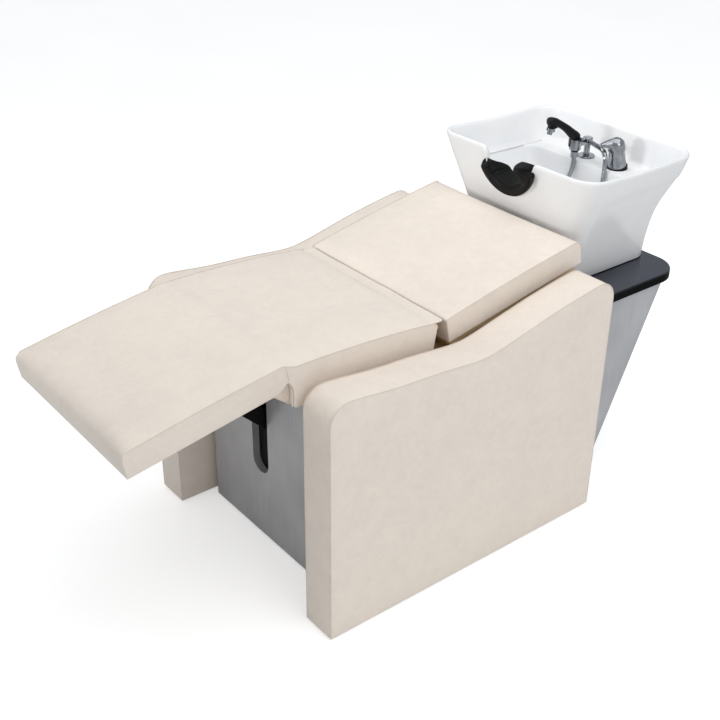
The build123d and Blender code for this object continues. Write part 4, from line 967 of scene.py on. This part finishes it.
def shower_hose(material):
    """The chrome hose, wound from a narrow strip whose turns stand out as fine ribs."""
    radius, groove, crest, step = 0.0058, 0.0006, 0.0001, 0.0009
    line = route_line(hose_route)
    points = even(line, step)
    radii = [radius - groove * (k % 4 == 0) + crest * (k % 4 == 2) for k in range(len(points))]
    hose = keep("ribbed_hose", skin(rings_along(points, radii, sides=20)), material,
                stands_for=("shower_hose",))


def in_handset(reach, height):
    """A point of the handset's own plane: reach is level, from the collar's axis towards the head."""
    yaw = math.radians(19)
    return mm(collar_x - reach * math.sin(yaw), collar_y - reach * math.cos(yaw), height)


def handset(material):
    """The handset's moulded handle with its spigot in the collar, and the head it swells into."""
    spigot = [in_handset(0, z) for z in (745.2, 745.6, 748, 756, 764, 772, 780, 781.4)]
    bends = ((0, 781.5), (3.5, 785), (13, 792.5), (29, 806.5), (46, 818), (62, 825.5), (76, 828), (85, 827.5))
    arch = through([in_handset(*spot) for spot in bends], 60)
    girth = [(0, 12.6), (0.1, 12.6), (0.3, 10.8), (0.5, 9.4), (0.65, 9.5), (0.8, 11.4), (0.92, 12.2),
             (0.975, 9.5), (1, 3)]
    radii = [8.8, 9.4] + [9.7] * 6 + [blended(girth, k / 59) for k in range(60)]
    keep("moulded_handle", skin(rings_along(spigot + arch, [r * MM for r in radii], sides=36)), material,
         body="handset", stands_for=("handset_handle",))
    lean = math.radians(14)
    profile = [(813.4, 9), (813.6, 12.2), (814.4, 13.1), (818, 13.4), (824, 13.3), (829, 12.2), (833, 9.6),
               (835.6, 5.8), (836.4, 2)]
    axis = [in_handset(70 + (z - 825) * math.sin(lean), z) for z, _ in profile]
    keep("handset_head", skin(rings_along(axis, [r * MM for _, r in profile], sides=48)), material,
         body="handset")


def lever(material):
    """The mixer's hooded lever, drawn as level slices whose front runs out into the beak."""
    reach = [(0, 21), (8, 21.2), (13, 24), (17, 33), (21, 43), (24, 46), (27, 42), (30, 31), (32.5, 17),
             (34, 4)]
    girth = [(0, 21), (10, 21), (18, 20.2), (24, 17.6), (29, 13), (32.5, 7.5), (34, 2.5)]
    lean, turn = math.radians(11), math.radians(-25)
    foot, top, slices = 48.3, 34, 34
    beak_width = 0.36
    base = mm(mixer_x, mixer_y, deck_top)
    rings = []
    for step in range(slices + 1):
        height = top * step / slices
        far, round_radius = blended(reach, height), blended(girth, height)
        spots = []
        for k in range(64):
            angle = 2 * math.pi * k / 64
            beak = math.exp(-(min(angle, 2 * math.pi - angle) / beak_width) ** 2)
            radius = round_radius + max(far - round_radius, 0) * beak
            flat = Vector((radius * math.sin(angle), -radius * math.cos(angle), foot + height)) * MM
            flat.rotate(Matrix.Rotation(turn, 3, "Z"))
            flat.rotate(Matrix.Rotation(lean, 3, "X"))
            spots.append(base + flat)
        rings.append(spots)
    keep("hooded_lever", skin(rings), material, body="mixer_lever", stands_for=("mixer_lever",))


aim_camera()
studio()

ivory = leatherette("ivory leatherette", "#F4E8DB", "#EDE1D5")
thread = leatherette("ivory seam edge", "#E8DCCF", "#DED1C3")
silver = silver_laminate("silver brushed laminate", "#C0C1C3", "#ADAEB1")
edge_band = silver_laminate("silver edge band", "#BDBEC0", "#AAABAE")
shelf_black = gloss_laminate()
china = glazed_ceramic()
plated = chrome()
rubber = moulded("black moulded rubber", "#090909", "#040404", roughness=0.46, pebble=0.0012, depth=0.0003,
                 specular=0.17)
black_abs = moulded("black moulded ABS", "#0C0C0D", "#060607", roughness=0.3, pebble=0.0008, depth=0.0001,
                    specular=0.24)
white_pp = moulded("white moulded polypropylene", "#E4E4E0", "#D6D6D2", roughness=0.4, pebble=0.001,
                   depth=0.0001, specular=0.4)
powder_black = coated_steel("black powder-coated steel", "#070708", "#040405", roughness=0.62, metallic=0.0,
                            Specular_IOR_Level=0.2)
zinc = coated_steel("zinc-plated steel", "#B9BCBF", "#9EA2A6", roughness=0.32, metallic=1.0)
birch = plywood()

finishes = {
    ivory: "side_panel_cover_right side_panel_cover_left seat_cushion backrest_cushion legrest_cushion",
    birch: "side_panel_core_right side_panel_core_left side_panel_battens floor_board seat_deck seat_risers"
           " seat_rails seat_board backrest_wedges backrest_board legrest_board",
    silver: "body_side_right body_side_left front_panel",
    edge_band: "rear_panel",
    shelf_black: "shelf_board",
    zinc: "side_panel_bolts_right side_panel_bolts_left hinge_leaf_seat hinge_pin hinge_leaf_legrest"
          " roller_pin legrest_wear_strip",
    powder_black: "slot_liner lifting_arm_tube lifting_arm_bracket lifting_arm_rod",
    black_abs: "floor_glides lifting_arm_motor push_roller collar_insert handset_handle waste_nut",
    white_pp: "waste_trap mixer_cartridge",
    china: "basin",
    rubber: "basin_gasket neck_rest mixer_gasket",
    plated: "drain_flange hair_strainer mixer_body mixer_shank mixer_lever hose_post holder_head"
            " hose_swan_neck shower_hose hose_nut spray_nozzle",
}
for material, names in finishes.items():
    for name in names.split():
        mesh = nodes[name].data
        mesh.materials.clear()
        mesh.materials.append(material)

side_panels(ivory, thread)
couch_cover(ivory, thread)
seat_flap(ivory)
fold_gusset(ivory)
gusset_ends(ivory, ivory)
backrest(ivory, thread)
basin(china)
neck_rest(rubber)
shower_hose(plated)
handset(black_abs)
lever(plated)
